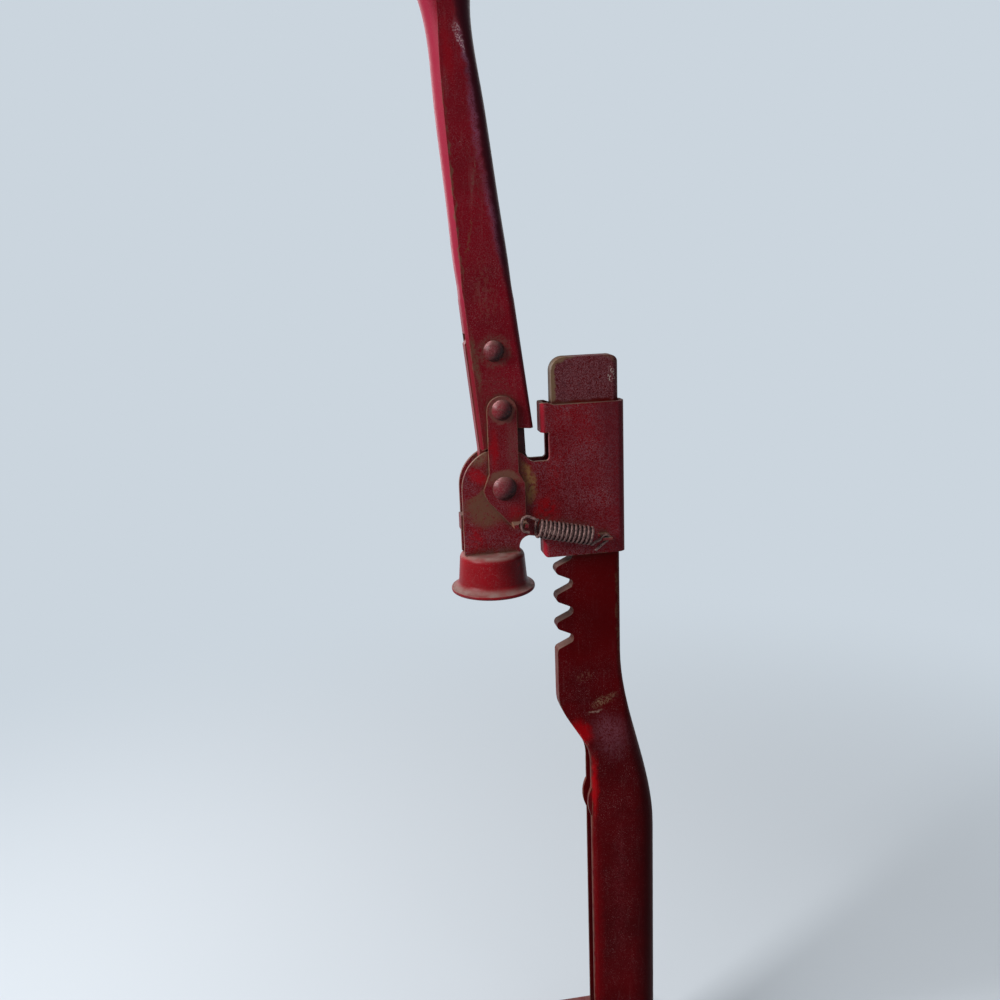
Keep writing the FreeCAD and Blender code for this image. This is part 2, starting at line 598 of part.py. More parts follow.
# Handle: a folded tube that leans to the left, flat at the foot and round at the grip.
handle = piece("handle", x=pivot_x, z=pivot_z)
lean = math.radians(SIZES["handle_lean"])
axis_drift = math.tan(lean)


def handle_section(body, name, height, width, depth, crease, right_r):
    """The handle's level section at a height.

    The right corners are round. On the left each face ends in a crease at a distance from the side, and a
    longer arc leads from there round to the left side.
    """
    drawing = sketch(body, name, "XY_Plane", height)
    centre = cell("handle_shift") - as_size(height) * axis_drift
    half_w, half_d = as_size(width) / 2, as_size(depth) / 2
    left, right = centre - half_w, centre + half_w
    turn = min(crease * 2, half_d.number * 0.92)
    left_r = (crease * crease + turn * turn) / (crease * 2)
    outline(drawing,
            (right - right_r, -half_d), (right, right_r - half_d, right_r),
            (right, half_d - right_r), (right - right_r, half_d, right_r),
            (left + crease, half_d), (left, half_d - turn, left_r),
            (left, turn - half_d), (left + crease, -half_d, left_r))
    return drawing


foot_depth = handle_half * 2
handle_wall = (foot_depth - arm_thick) / 2
FLAT_TOP = 92.0
flat_width = cell("handle_width") - 1.1
FOOT_ROWS = (
    (0.0, cell("handle_width") + 0.6, foot_depth, 1.4, 1.0),
    (FLAT_TOP, flat_width, foot_depth, 1.7, 4.6),
)
GRIP_ROWS = (
    (FLAT_TOP, flat_width, foot_depth, 1.7, 4.6),
    (FLAT_TOP + 14.0, flat_width - 0.4, foot_depth + 0.1, 1.9, 5.2),
    (130.0, cell("handle_width") - 2.4, foot_depth + 0.7, 2.5, 6.0),
    (160.0, cell("handle_width") - 3.7, foot_depth + 1.9, 2.9, 5.9),
    (186.0, cell("neck_width") + 1.7, cell("neck_depth") - 1.4, 3.2, 5.8),
    (cell("neck_height"), cell("neck_width"), cell("neck_depth"), 4.0, 6.6),
    (cell("neck_height") + 18.0, cell("neck_width") + 3.2, cell("neck_depth") + 2.6, 7.0, 9.2),
    (cell("handle_end") - 21.0, cell("grip_width") - 0.6, cell("grip_depth") - 0.4, 9.0, 10.8),
    (cell("handle_end") - 8.0, cell("grip_width") - 2.2, cell("grip_depth") - 1.8, 8.6, 9.8),
    (cell("handle_end") - 1.5, cell("grip_width") - 11.0, cell("grip_depth") - 9.0, 5.8, 6.4),
    (cell("handle_end"), cell("grip_width") - 19.0, cell("grip_depth") - 16.0, 3.1, 3.4),
)


def sections(name, rows, inset):
    """Level sections for a loft, each drawn in from the handle's skin by an inset."""
    drawn = []
    for n, (height, width, depth, crease, right_r) in enumerate(rows):
        drawn.append(handle_section(handle, "%s%d" % (name, n), height, width - inset * 2, depth - inset * 2,
                                    max(crease - inset.number, 0.6), max(right_r - inset.number, 1.0)))
    return drawn


no_inset = as_size(0.0)
loft(handle, "AdditiveLoft", "FootLoft", sections("Foot", FOOT_ROWS, no_inset), ruled=True)
loft(handle, "AdditiveLoft", "GripLoft", sections("Grip", GRIP_ROWS, no_inset))
core_rows = ((-6.0,) + FOOT_ROWS[0][1:],) + GRIP_ROWS[:-2]
loft(handle, "SubtractiveLoft", "CoreLoft", sections("Core", core_rows, handle_wall), ruled=True)
doc.recompute()
foot_cut = sketch(handle, "FootCut")
outline(foot_cut, (-60, -10), (60, -10), (60, cell("handle_foot") + 4.5), (14.2, cell("handle_foot")),
        (7.5, cell("handle_foot") + 0.6), (-4.0, 24.0), (-7.0, 20.6), (-8.6, 19.7), (-10.0, 19.3),
        (-11.6, 20.8), (-12.4, 23.5), (-60, 23.5))
cut_away(handle, "FootTrim", foot_cut, 60.0)
slot = sketch(handle, "ArmSlot")
outline(slot, (-60, -10), (-2, -10), (-9.0, cell("handle_slot")), (-60, cell("handle_slot")))
cut_away(handle, "SlotCut", slot, arm_thick + cell("fit") * 2)
handle_holes = sketch(handle, "HandleHoles")
disc(handle_holes, cell("upper_x"), cell("upper_z"), cell("rivet_radius"))
disc(handle_holes, 0, cell("lower_z"), cell("rivet_radius"))
cut_away(handle, "HandleDrilling", handle_holes, 60.0)

# Links: side plates from the lower rivet to the pivot. The near one has a turned-out tail for the spring.
link_face = handle_half
link_half = cell("link_width") / 2
eye = cell("link_eye")
shoulder = cell("link_neck")


def link_plate(name, face, tail):
    """A link plate whose inner face lies at a distance in front of, or behind, the middle plane."""
    plate = piece(name, x=pivot_x, z=pivot_z)
    side = sketch(plate, name + "_outline", "XZ_Plane", face)
    top = cell("link_top") - link_half
    if tail:
        low = ((-eye * 0.80, -eye * 0.60, eye * 1.0), (3.0, -cell("tail_drop")),
               (cell("tail_reach"), -cell("tail_drop")), (cell("tail_reach"), 2.0))
    else:
        low = ((0, -eye, eye), (eye, 0, eye))
    outline(side, (link_half, shoulder), (link_half, top), (-link_half, top, link_half),
            (-link_half, shoulder), (-eye, 0), *low)
    extrude(plate, "Pad", name + "_plate", side, cell("link_sheet"), symmetric=False)
    doc.recompute()
    holes = sketch(plate, name + "_holes")
    disc(holes, 0, 0, cell("pivot_radius") + cell("fit"))
    disc(holes, 0, cell("lower_z"), cell("rivet_radius"))
    cut_away(plate, name + "_drilling", holes, link_face * 8)
    return plate


near = link_plate("link_near", link_face, True)
lip = sketch(near, "TailLip", "XZ_Plane", link_face)
outline(lip, (3.0, -cell("tail_drop")), (cell("tail_reach"), -cell("tail_drop")),
        (cell("tail_reach"), cell("link_sheet") - cell("tail_drop")), (3.0, cell("link_sheet") - cell("tail_drop")))
extrude(near, "Pad", "TailShelf", lip, cell("link_sheet") + cell("tail_lip"), symmetric=False)
lip_hole = sketch(near, "LipHole", "XY_Plane")
lip_x = cell("tail_reach") - 3.4
spring_y = -(cheek_half + spring_off)
disc(lip_hole, lip_x, spring_y, cell("tail_hole"))
cut_away(near, "LipDrilling", lip_hole, cell("tail_drop") * 4)
link_plate("link_far", -link_face - cell("link_sheet"), False)

# Rivets: a straight shank with a domed head on each side.


def rivet(name, x, z, shank, head, rise, half_grip):
    """A rivet along Y: a shank between two domed heads."""
    thing = piece(name, x=pivot_x + x, z=pivot_z + z)
    tie(thing, "Placement.Rotation.Angle", 90.0)
    thing.Placement = FreeCAD.Placement(thing.Placement.Base, FreeCAD.Rotation(V(1, 0, 0), 90))
    side = sketch(thing, name + "_profile")
    dome = (head * head + rise * rise) / (rise * 2)
    outline(side, (0, -half_grip - rise), (head, -half_grip, dome), (shank, -half_grip),
            (shank, half_grip), (head, half_grip), (0, half_grip + rise, dome))
    ring_of(thing, name + "_turning", side)
    return thing


link_out = link_face + cell("link_sheet")
rivet("upper_rivet", cell("upper_x"), cell("upper_z"), cell("rivet_radius"), cell("head_radius"),
      cell("head_rise"), handle_half)
rivet("lower_rivet", as_size(0.0), cell("lower_z"), cell("rivet_radius"), cell("head_radius"),
      cell("head_rise"), link_out)
rivet("pivot_rivet", as_size(0.0), as_size(0.0), cell("pivot_radius"), cell("pivot_head"),
      cell("head_rise"), link_out + cell("side_play"))

# Foot rivets: four in one node, domed above the feet and flat under the base plate.
rivets = []
rivet_top = base_top + cell("column_sheet")
for number, (sign, place) in enumerate((s, p) for s in (1, -1) for p in foot_rivet_x):
    shank = doc.addObject("Part::Cylinder", "FootShank%d" % number)
    tie(shank, "Radius", cell("foot_rivet_r"))
    tie(shank, "Height", cell("column_sheet") + cell("base_sheet") + 2.2)
    dome = doc.addObject("Part::Cone", "FootHead%d" % number)
    tie(dome, "Radius1", cell("foot_rivet_r") * 1.75)
    tie(dome, "Radius2", cell("foot_rivet_r") * 0.9)
    tie(dome, "Height", cell("foot_rivet_r") * 0.75)
    flat = doc.addObject("Part::Cylinder", "FootTail%d" % number)
    tie(flat, "Radius", cell("foot_rivet_r") * 1.5)
    tie(flat, "Height", 1.2)
    for thing, level in ((shank, rivet_top - cell("column_sheet") - cell("base_sheet") - 1.0),
                         (dome, rivet_top), (flat, base_top - cell("base_sheet") - 1.2)):
        tie(thing, "Placement.Base.x", pivot_x + rack_front + place)
        tie(thing, "Placement.Base.y", foot_rivet_y * sign)
        tie(thing, "Placement.Base.z", level)
    joined = doc.addObject("Part::MultiFuse", "FootRivet%d" % number)
    joined.Shapes = [shank, dome, flat]
    rivets.append(joined)
group = doc.addObject("Part::Compound", "foot_rivets")
group.Label = "foot_rivets"
group.Links = rivets
parts.append(group)
base_rivet_holes = sketch(base, "BaseRivetHoles", "XY_Plane")
for sign in (1, -1):
    for place in foot_rivet_x:
        disc(base_rivet_holes, pivot_x + rack_front + place, foot_rivet_y * sign,
             cell("foot_rivet_r") + cell("fit"))
cut_away(base, "BaseRivetDrilling", base_rivet_holes, base_top * 3)

# Return spring: a close coil from the link's tail to the ear on the cheek, with a hook at each end.
spring = doc.addObject("Part::Feature", "return_spring")
spring.Label = "return_spring"


def coil_spring():
    """A close coil about a slanting axis, and at each end a straight lead and a half-round hook."""
    wire_r = SIZES["wire_radius"]
    coil_r = SIZES["spring_radius"] - wire_r
    lead = SIZES["hook_lead"]
    left = V(pivot_x.number + lip_x.number, spring_y.number,
             SIZES["pivot_z"] - SIZES["tail_drop"] + SIZES["link_sheet"] / 2)
    right = V(pivot_x.number + SIZES["ear_x"], spring_y.number, SIZES["pivot_z"] + SIZES["ear_z"])
    run = right - left
    way = V(run.x, run.y, run.z).normalize()
    side = V(0, -1, 0)
    up = way.cross(side)
    length = run.Length - lead * 2
    helix = Part.makeHelix(length / SIZES["spring_turns"], length, coil_r)
    turn = FreeCAD.Matrix(up.x, side.x, way.x, 0, up.y, side.y, way.y, 0, up.z, side.z, way.z, 0, 0, 0, 0, 1)
    helix.transformShape(turn)
    helix.translate(left + way * lead)
    start = left + way * lead + up * coil_r
    ring = Part.Wire(Part.makeCircle(wire_r, start, side))
    coil = Part.Wire(helix.Edges).makePipeShell([ring], True, True)
    ends = []
    for end, sign in ((left, 1.0), (right, -1.0)):
        shoulder = end + way * (lead * sign) + up * coil_r
        eye_centre = end + way * (coil_r * sign)
        crest = eye_centre + up * coil_r
        outward = way * -sign
        hook_r = wire_r * 0.97
        ends.append(Part.makeCylinder(hook_r, (shoulder - crest).Length, crest, outward * -1))
        face = Part.Face(Part.Wire(Part.makeCircle(hook_r, crest, outward)))
        ends.append(face.revolve(eye_centre, up.cross(outward), 180))
    return coil.fuse(ends)


spring.Shape = coil_spring()
parts.append(spring)

doc.recompute()
broken = [thing.Name for thing in doc.Objects if "Invalid" in thing.State or "Error" in thing.State]
if broken:
    raise RuntimeError("failed: %s" % ", ".join(broken))
os.makedirs("parts", exist_ok=True)
for part in parts:
    if part.Shape.isNull() or not part.Shape.isValid():
        raise RuntimeError("%s has no valid shape" % part.Label)
for part in parts:
    part.Shape.exportStep("parts/%s.step" % part.Label)
    print("%s: %d solids, %.0f mm3" % (part.Label, len(part.Shape.Solids), part.Shape.Volume))
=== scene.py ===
import json
import math

import bmesh
import bpy
import numpy as np
from mathutils import Matrix, Vector

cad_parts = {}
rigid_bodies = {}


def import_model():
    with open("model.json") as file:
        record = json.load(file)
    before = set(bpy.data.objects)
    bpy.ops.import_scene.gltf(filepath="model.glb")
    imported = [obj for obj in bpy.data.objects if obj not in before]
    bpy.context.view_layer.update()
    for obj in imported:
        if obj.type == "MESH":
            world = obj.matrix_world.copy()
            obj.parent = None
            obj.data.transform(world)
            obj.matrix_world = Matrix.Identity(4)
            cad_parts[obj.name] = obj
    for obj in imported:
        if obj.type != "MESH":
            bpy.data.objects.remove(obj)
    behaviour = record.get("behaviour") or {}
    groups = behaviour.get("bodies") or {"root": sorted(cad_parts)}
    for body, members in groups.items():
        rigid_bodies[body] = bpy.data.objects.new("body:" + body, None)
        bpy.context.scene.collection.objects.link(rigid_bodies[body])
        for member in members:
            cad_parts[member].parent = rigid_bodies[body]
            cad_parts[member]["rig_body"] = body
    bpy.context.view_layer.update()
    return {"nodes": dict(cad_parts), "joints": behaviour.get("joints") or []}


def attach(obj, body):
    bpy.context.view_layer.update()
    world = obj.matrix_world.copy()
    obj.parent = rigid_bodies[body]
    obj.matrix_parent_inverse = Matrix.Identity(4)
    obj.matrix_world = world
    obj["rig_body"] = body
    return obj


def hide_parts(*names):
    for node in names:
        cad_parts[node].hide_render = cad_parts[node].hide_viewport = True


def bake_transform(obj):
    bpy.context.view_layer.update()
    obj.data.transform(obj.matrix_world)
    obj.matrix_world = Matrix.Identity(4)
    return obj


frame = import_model()

# Camera: at the photograph's angle, a normal lens half a metre from the tool and a little above the pivot,
# looking down at it. The lever's pivot is the point that everything in front of the lens is placed by.
LENS_PLACE = Vector((-0.08999, -0.52069, 0.12247))
LENS_YAW, LENS_PITCH, LENS_ROLL = (math.radians(degrees) for degrees in (9.675, 13.837, -2.142))
SENSOR_WIDTH, FOCAL_LENGTH = 36.0, 38.88
swing = next(joint for joint in frame["joints"] if joint["name"] == "lever_swing")
pivot = Vector(swing["pos_m"])
ahead = Vector((math.sin(LENS_YAW) * math.cos(LENS_PITCH), math.cos(LENS_YAW) * math.cos(LENS_PITCH),
                -math.sin(LENS_PITCH)))
level = Vector((math.cos(LENS_YAW), -math.sin(LENS_YAW), 0.0))
above = level.cross(ahead)
across = level * math.cos(LENS_ROLL) + above * math.sin(LENS_ROLL)
upward = above * math.cos(LENS_ROLL) - level * math.sin(LENS_ROLL)
lens = bpy.data.cameras.new("Camera")
lens.sensor_width = SENSOR_WIDTH
lens.lens = FOCAL_LENGTH
camera = bpy.data.objects.new("Camera", lens)
bpy.context.scene.collection.objects.link(camera)
camera.matrix_world = (Matrix.Translation(pivot + LENS_PLACE)
                       @ Matrix((across, upward, -ahead)).transposed().to_4x4())
bpy.context.scene.camera = camera


# Stage: a pale floor that keeps the tool's shadow and fades into a pale surround, one soft lamp high on the
# left like a window, a weak one in front and two behind.
def colour(red, green, blue):
    """A colour given as it looks on a screen, 0 to 255, turned into the linear values that Blender wants."""
    parts = np.array((red, green, blue)) / 255.0
    linear = np.where(parts <= 0.04045, parts / 12.92, ((parts + 0.055) / 1.055) ** 2.4)
    return (*linear.tolist(), 1.0)


def add(tree, kind, inputs=None, **settings):
    """A new node. Its inputs are named or numbered: a socket is linked, and anything else is set."""
    made = tree.nodes.new(kind)
    for name, value in settings.items():
        setattr(made, name, value)
    for name, value in (inputs or {}).items():
        if isinstance(value, bpy.types.NodeSocket):
            tree.links.new(value, made.inputs[name])
        else:
            made.inputs[name].default_value = value
    return made


def calc(tree, operation, *values):
    """The result of a Math node."""
    return add(tree, "ShaderNodeMath", dict(enumerate(values)), operation=operation).outputs[0]


def fade(tree, value, low, high):
    """A smooth rise from 0 at low to 1 at high, or a fall where low is above high."""
    return add(tree, "ShaderNodeMapRange", {"Value": value, "From Min": low, "From Max": high},
               interpolation_type="SMOOTHSTEP").outputs["Result"]


def blank(name):
    """A material with an empty node tree and its output node."""
    material = bpy.data.materials.new(name)
    material.use_nodes = True
    material.node_tree.nodes.clear()
    return material, material.node_tree, add(material.node_tree, "ShaderNodeOutputMaterial")


def seen(tree):
    """1 for a ray that the eye, a gloss or a glass sends out, and 0 for a ray that only gathers light."""
    path = add(tree, "ShaderNodeLightPath")
    first = calc(tree, "MAXIMUM", path.outputs["Is Camera Ray"], path.outputs["Is Glossy Ray"])
    return calc(tree, "MAXIMUM", first, path.outputs["Is Transmission Ray"])


SURROUND = colour(203, 213, 222)
FLOOR_PAINT = colour(208, 214, 220)
AMBIENT = 0.21
FLOOR_RADIUS, FLOOR_SIDES = 6.0, 96
FADE_START, FADE_END = 0.25, 0.9


def surround_strength(tree):
    """Full where the surround is seen, and AMBIENT where it only throws light on the tool."""
    return add(tree, "ShaderNodeMapRange", {"Value": seen(tree), "To Min": AMBIENT,
                                            "To Max": 1.0}).outputs["Result"]


floor_material, tree, output = blank("Floor")
place = add(tree, "ShaderNodeTexCoord").outputs["Object"]
distance = add(tree, "ShaderNodeVectorMath", {0: place}, operation="LENGTH").outputs["Value"]
far = add(tree, "ShaderNodeEmission", {"Color": SURROUND, "Strength": surround_strength(tree)})
near = add(tree, "ShaderNodeBsdfDiffuse", {"Color": FLOOR_PAINT})
merge = add(tree, "ShaderNodeMixShader", {"Fac": fade(tree, distance, FADE_START, FADE_END), 1: near.outputs[0],
                                          2: far.outputs[0]})
tree.links.new(merge.outputs[0], output.inputs["Surface"])
bearing = np.linspace(0.0, 2 * np.pi, FLOOR_SIDES, endpoint=False)
rim = FLOOR_RADIUS * np.stack([np.cos(bearing), np.sin(bearing), np.zeros(FLOOR_SIDES)], axis=1)
floor_mesh = bpy.data.meshes.new("Floor")
floor_mesh.from_pydata(rim.tolist(), [], [list(range(FLOOR_SIDES))])
floor_mesh.materials.append(floor_material)
floor = bpy.data.objects.new("Floor", floor_mesh)
bpy.context.scene.collection.objects.link(floor)

world = bpy.data.worlds.new("Surround")
world.use_nodes = True
bpy.context.scene.world = world
tree = world.node_tree
tree.nodes.clear()
sky = add(tree, "ShaderNodeBackground", {"Color": SURROUND, "Strength": surround_strength(tree)})
tree.links.new(sky.outputs[0], add(tree, "ShaderNodeOutputWorld").inputs["Surface"])


def lamp(name, offset, size, power):
    """A square soft lamp at an offset in metres from the pivot, turned towards it. Its power is in watts."""
    light = bpy.data.lights.new(name, "AREA")
    light.shape = "SQUARE"
    light.size = size
    light.energy = power
    thing = bpy.data.objects.new(name, light)
    bpy.context.scene.collection.objects.link(thing)
    thing.location = pivot + Vector(offset)
    thing.rotation_euler = Vector(offset).to_track_quat("Z", "Y").to_euler()


lamp("Window", (-1.30, -0.42, 0.75), 0.70, 37.0)
lamp("Front", (0.3, -1.6, 0.6), 1.2, 3.5)
lamp("Back", (-0.7, 1.4, 0.5), 1.2, 8.0)
lamp("Far side", (1.0, 1.3, 0.6), 1.2, 5.0)
bpy.context.scene.view_settings.view_transform = "Standard"


# Base plate: pressed steel sheet with a turned-down skirt, sprayed crimson like the rest of the tool. The
# enamel is thin and old: fine pale specks and dark pits sit all over it, dust lies on what faces up, grime and
# painted shade darken the corners, and the steel shows brown along worn edges.
def at(x, y, z):
    """A place in the frame, given in millimetres from the lever's pivot."""
    return pivot + Vector((x, y, z)) / 1000.0


def mixed(tree, share, first, second):
    """Two colours mixed by a share."""
    return add(tree, "ShaderNodeMix", {0: share, 6: first, 7: second}, data_type="RGBA").outputs[2]


def cloud(tree, vector, size, low, high, detail=4.0, rough=0.55):
    """A smooth mask from noise whose lumps are about size across, rising where the noise passes low to high."""
    noise = add(tree, "ShaderNodeTexNoise", {"Vector": vector, "Scale": 1.0 / size, "Detail": detail,
                                             "Roughness": rough})
    return fade(tree, noise.outputs["Fac"], low, high)


def patch(centre, size, turn=0.0, soft=0.5):
    """Where an ellipsoid, turned by degrees in the side view, covers the piece: 1 inside, 0 at its skin."""
    def mask(tree, place):
        inside = add(tree, "ShaderNodeMapping", {"Vector": place, "Location": at(*centre),
                                                 "Scale": Vector(size) / 1000,
                                                 "Rotation": (0.0, -math.radians(turn), 0.0)}, vector_type="TEXTURE")
        reach = add(tree, "ShaderNodeVectorMath", {0: inside.outputs[0]}, operation="LENGTH").outputs["Value"]
        return fade(tree, reach, 1.0, 1.0 - soft)
    return mask


def beyond(point, way, soft):
    """What lies past a plane through a point, rising over a soft distance along the way."""
    def mask(tree, place):
        run = add(tree, "ShaderNodeVectorMath", {0: place, 1: at(*point)}, operation="SUBTRACT").outputs[0]
        along = add(tree, "ShaderNodeVectorMath", {0: run, 1: Vector(way).normalized()}, operation="DOT_PRODUCT")
        return fade(tree, along.outputs["Value"], 0.0, soft / 1000)
    return mask


def facing(way, low, high):
    """What is turned towards a direction, rising as the cosine between them passes low to high."""
    def mask(tree, place):
        normal = add(tree, "ShaderNodeTexCoord").outputs["Normal"]
        turn = add(tree, "ShaderNodeVectorMath", {0: normal, 1: Vector(way).normalized()}, operation="DOT_PRODUCT")
        return fade(tree, turn.outputs["Value"], low, high)
    return mask


def reach_from(tree, place, centre, axes):
    """How far a place is from a centre, counting only the axes that are 1."""
    run = add(tree, "ShaderNodeVectorMath", {0: place, 1: centre}, operation="SUBTRACT").outputs[0]
    flat = add(tree, "ShaderNodeVectorMath", {0: run, 1: axes}, operation="MULTIPLY").outputs[0]
    return add(tree, "ShaderNodeVectorMath", {0: flat}, operation="LENGTH").outputs["Value"]


def ring(centre, inner, outer, soft):
    """What lies between two circles in the side view."""
    def mask(tree, place):
        reach = reach_from(tree, place, at(*centre), (1.0, 0.0, 1.0))
        return calc(tree, "MULTIPLY", fade(tree, reach, (inner - soft) / 1000, inner / 1000),
                    fade(tree, reach, outer / 1000, (outer - soft) / 1000))
    return mask


def broken(size, low, high):
    """Uneven cover with lumps of a size in millimetres."""
    return lambda tree, place: cloud(tree, place, size / 1000, low, high, detail=6.0)


def both(*masks):
    """Where all of several masks cover the piece."""
    def mask(tree, place):
        result = masks[0](tree, place)
        for other in masks[1:]:
            result = calc(tree, "MULTIPLY", result, other(tree, place))
        return result
    return mask


def blotch(centre, size, lumps, tint, strength, turn=0.0, soft=0.5):
    """A mark: an ellipsoid of colour that noise, given as for broken, has eaten into."""
    return both(patch(centre, size, turn, soft), broken(*lumps)), tint, strength


LEFT, RIGHT = (-1.0, 0.0, 0.0), (1.0, 0.0, 0.0)
UP, DOWN = (0.0, 0.0, 1.0), (0.0, 0.0, -1.0)
CRIMSON = colour(122, 1, 14)
DEEP = colour(92, 0, 6)
BLOOM = colour(112, 56, 64)
SPECK = colour(140, 98, 98)
DUST = colour(130, 104, 98)
PIT = colour(52, 2, 8)
GRIME_AND_SHADE = colour(72, 48, 38)
BARE = colour(112, 88, 70)


def enamel(name, main=CRIMSON, dark=DEEP, speck=0.5, bloom=0.5, dust=0.55, cut=0.0, edge=0.7, corner_shade_and_grime=0.8,
           shine=0.12, grain=(1.0, 1.0, 1.0), marks=()):
    """The worn paint of one piece.

    speck says how many pale grains it carries, bloom how far a fine purple-grey film and dark pits have grown
    over it, dust how much lies on top, cut how bare its punched edges are, edge how worn its outer edges are,
    and fouled how far grime and painted shade darken its inner corners. shine is how much light its skin
    mirrors, and grain stretches the streaks. marks are (mask, colour, strength) laid on top, and their outlines
    are shifted a little by noise.
    """
    material, tree, output = blank(name)
    coordinates = add(tree, "ShaderNodeTexCoord")
    place = coordinates.outputs["Object"]
    turned = add(tree, "ShaderNodeSeparateXYZ", {0: coordinates.outputs["Normal"]})
    streaked = add(tree, "ShaderNodeMapping", {"Vector": place, "Scale": grain}).outputs["Vector"]
    drift = add(tree, "ShaderNodeTexNoise", {"Vector": place, "Scale": 260.0, "Detail": 5.0}).outputs["Color"]
    drift = add(tree, "ShaderNodeVectorMath", {0: drift, 1: (0.5, 0.5, 0.5)}, operation="SUBTRACT").outputs[0]
    drift = add(tree, "ShaderNodeVectorMath", {0: drift, 3: 0.0045}, operation="SCALE").outputs[0]
    ragged = add(tree, "ShaderNodeVectorMath", {0: place, 1: drift}, operation="ADD").outputs[0]

    # The sprayed coat, and the film and fine streaks over it.
    paint = mixed(tree, cloud(tree, place, 0.040, 0.34, 0.66), main, dark)
    patches = cloud(tree, place, 0.013, 0.30, 0.70)
    film = calc(tree, "MULTIPLY", cloud(tree, place, 0.00062, 0.46, 0.55, detail=2.0),
                calc(tree, "MULTIPLY_ADD", patches, 0.55, 0.45))
    paint = mixed(tree, calc(tree, "MULTIPLY", film, bloom), paint, BLOOM)
    streaks = cloud(tree, streaked, 0.0020, 0.56, 0.72, detail=6.0)
    paint = mixed(tree, calc(tree, "MULTIPLY", streaks, 0.30 * speck), paint, SPECK)

    # Grains stand where one fine noise is high, and pits lie where it is low.
    grains = add(tree, "ShaderNodeTexNoise", {"Vector": place, "Scale": 2700.0, "Detail": 2.0, "Roughness": 0.6})
    gate = calc(tree, "MULTIPLY_ADD", patches, -0.05, 0.70 - 0.10 * speck)
    specks = fade(tree, calc(tree, "SUBTRACT", grains.outputs["Fac"], gate), -0.01, 0.05)
    paint = mixed(tree, calc(tree, "MULTIPLY", specks, 0.62), paint, SPECK)
    pits = calc(tree, "MULTIPLY", fade(tree, grains.outputs["Fac"], 0.46, 0.36), bloom)
    paint = mixed(tree, calc(tree, "MULTIPLY", pits, 0.75), paint, PIT)

    # Dust on what faces up, and grime with painted shade where other surfaces are close.
    upward_facing = fade(tree, turned.outputs["Z"], 0.35, 0.90)
    lying = calc(tree, "MULTIPLY", upward_facing, cloud(tree, place, 0.007, 0.14, 0.66, detail=8.0))
    paint = mixed(tree, calc(tree, "MULTIPLY", lying, dust), paint, DUST)
    # Painted shade: ambient occlusion darkens the paint towards a brown grime colour where other surfaces are close.
    hidden = add(tree, "ShaderNodeAmbientOcclusion", {"Distance": 0.006}, samples=8).outputs["AO"]
    corner = calc(tree, "MULTIPLY", fade(tree, hidden, 0.95, 0.50), cloud(tree, place, 0.005, 0.22, 0.55))
    paint = mixed(tree, calc(tree, "MULTIPLY", corner, corner_shade_and_grime), paint, GRIME_AND_SHADE)

    # Bare steel on the punched edges, which turn away from the flat sides, and along worn outer edges, where a
    # rounded normal leaves the true one.
    sideways = calc(tree, "SUBTRACT", 1.0, calc(tree, "ABSOLUTE", turned.outputs["Y"]))
    thin = calc(tree, "MULTIPLY", fade(tree, sideways, 0.25, 0.75), cloud(tree, place, 0.004, 0.3, 0.6, detail=6.0))
    paint = mixed(tree, calc(tree, "MULTIPLY", thin, cut), paint, BARE)
    rounded = add(tree, "ShaderNodeBevel", {"Radius": 0.0006}, samples=6).outputs["Normal"]
    true = add(tree, "ShaderNodeNewGeometry").outputs["True Normal"]
    agree = add(tree, "ShaderNodeVectorMath", {0: rounded, 1: true}, operation="DOT_PRODUCT").outputs["Value"]
    worn = calc(tree, "MULTIPLY", fade(tree, agree, 0.995, 0.90),
                cloud(tree, place, 0.0025, 0.34, 0.58, detail=6.0))
    paint = mixed(tree, calc(tree, "MULTIPLY", worn, edge), paint, BARE)

    for mask, tint, strength in marks:
        paint = mixed(tree, calc(tree, "MULTIPLY", mask(tree, ragged), strength), paint, tint)

    # The skin is duller where anything lies on it, and has the fine waves of sprayed paint.
    dull = calc(tree, "MAXIMUM", calc(tree, "MAXIMUM", specks, lying), corner)
    dull = calc(tree, "MAXIMUM", dull, calc(tree, "MULTIPLY", film, bloom))
    gloss = add(tree, "ShaderNodeMapRange", {"Value": calc(tree, "MULTIPLY_ADD", streaks, 0.25, dull),
                                             "To Min": 0.36, "To Max": 0.72}).outputs["Result"]
    peel = add(tree, "ShaderNodeTexNoise", {"Vector": place, "Scale": 420.0, "Detail": 3.0}).outputs["Fac"]
    height = calc(tree, "MULTIPLY_ADD", specks, 0.5, calc(tree, "MULTIPLY", peel, 0.6))
    bump = add(tree, "ShaderNodeBump", {"Height": height, "Strength": 0.30, "Distance": 0.00016})
    skin = add(tree, "ShaderNodeBsdfPrincipled", {"Base Color": paint, "Roughness": gloss,
                                                  "Normal": bump.outputs["Normal"], "Specular IOR Level": shine})
    tree.links.new(skin.outputs[0], output.inputs["Surface"])
    return material


SAME_POINT = 2e-6
FLAT_ANGLE = math.radians(0.3)


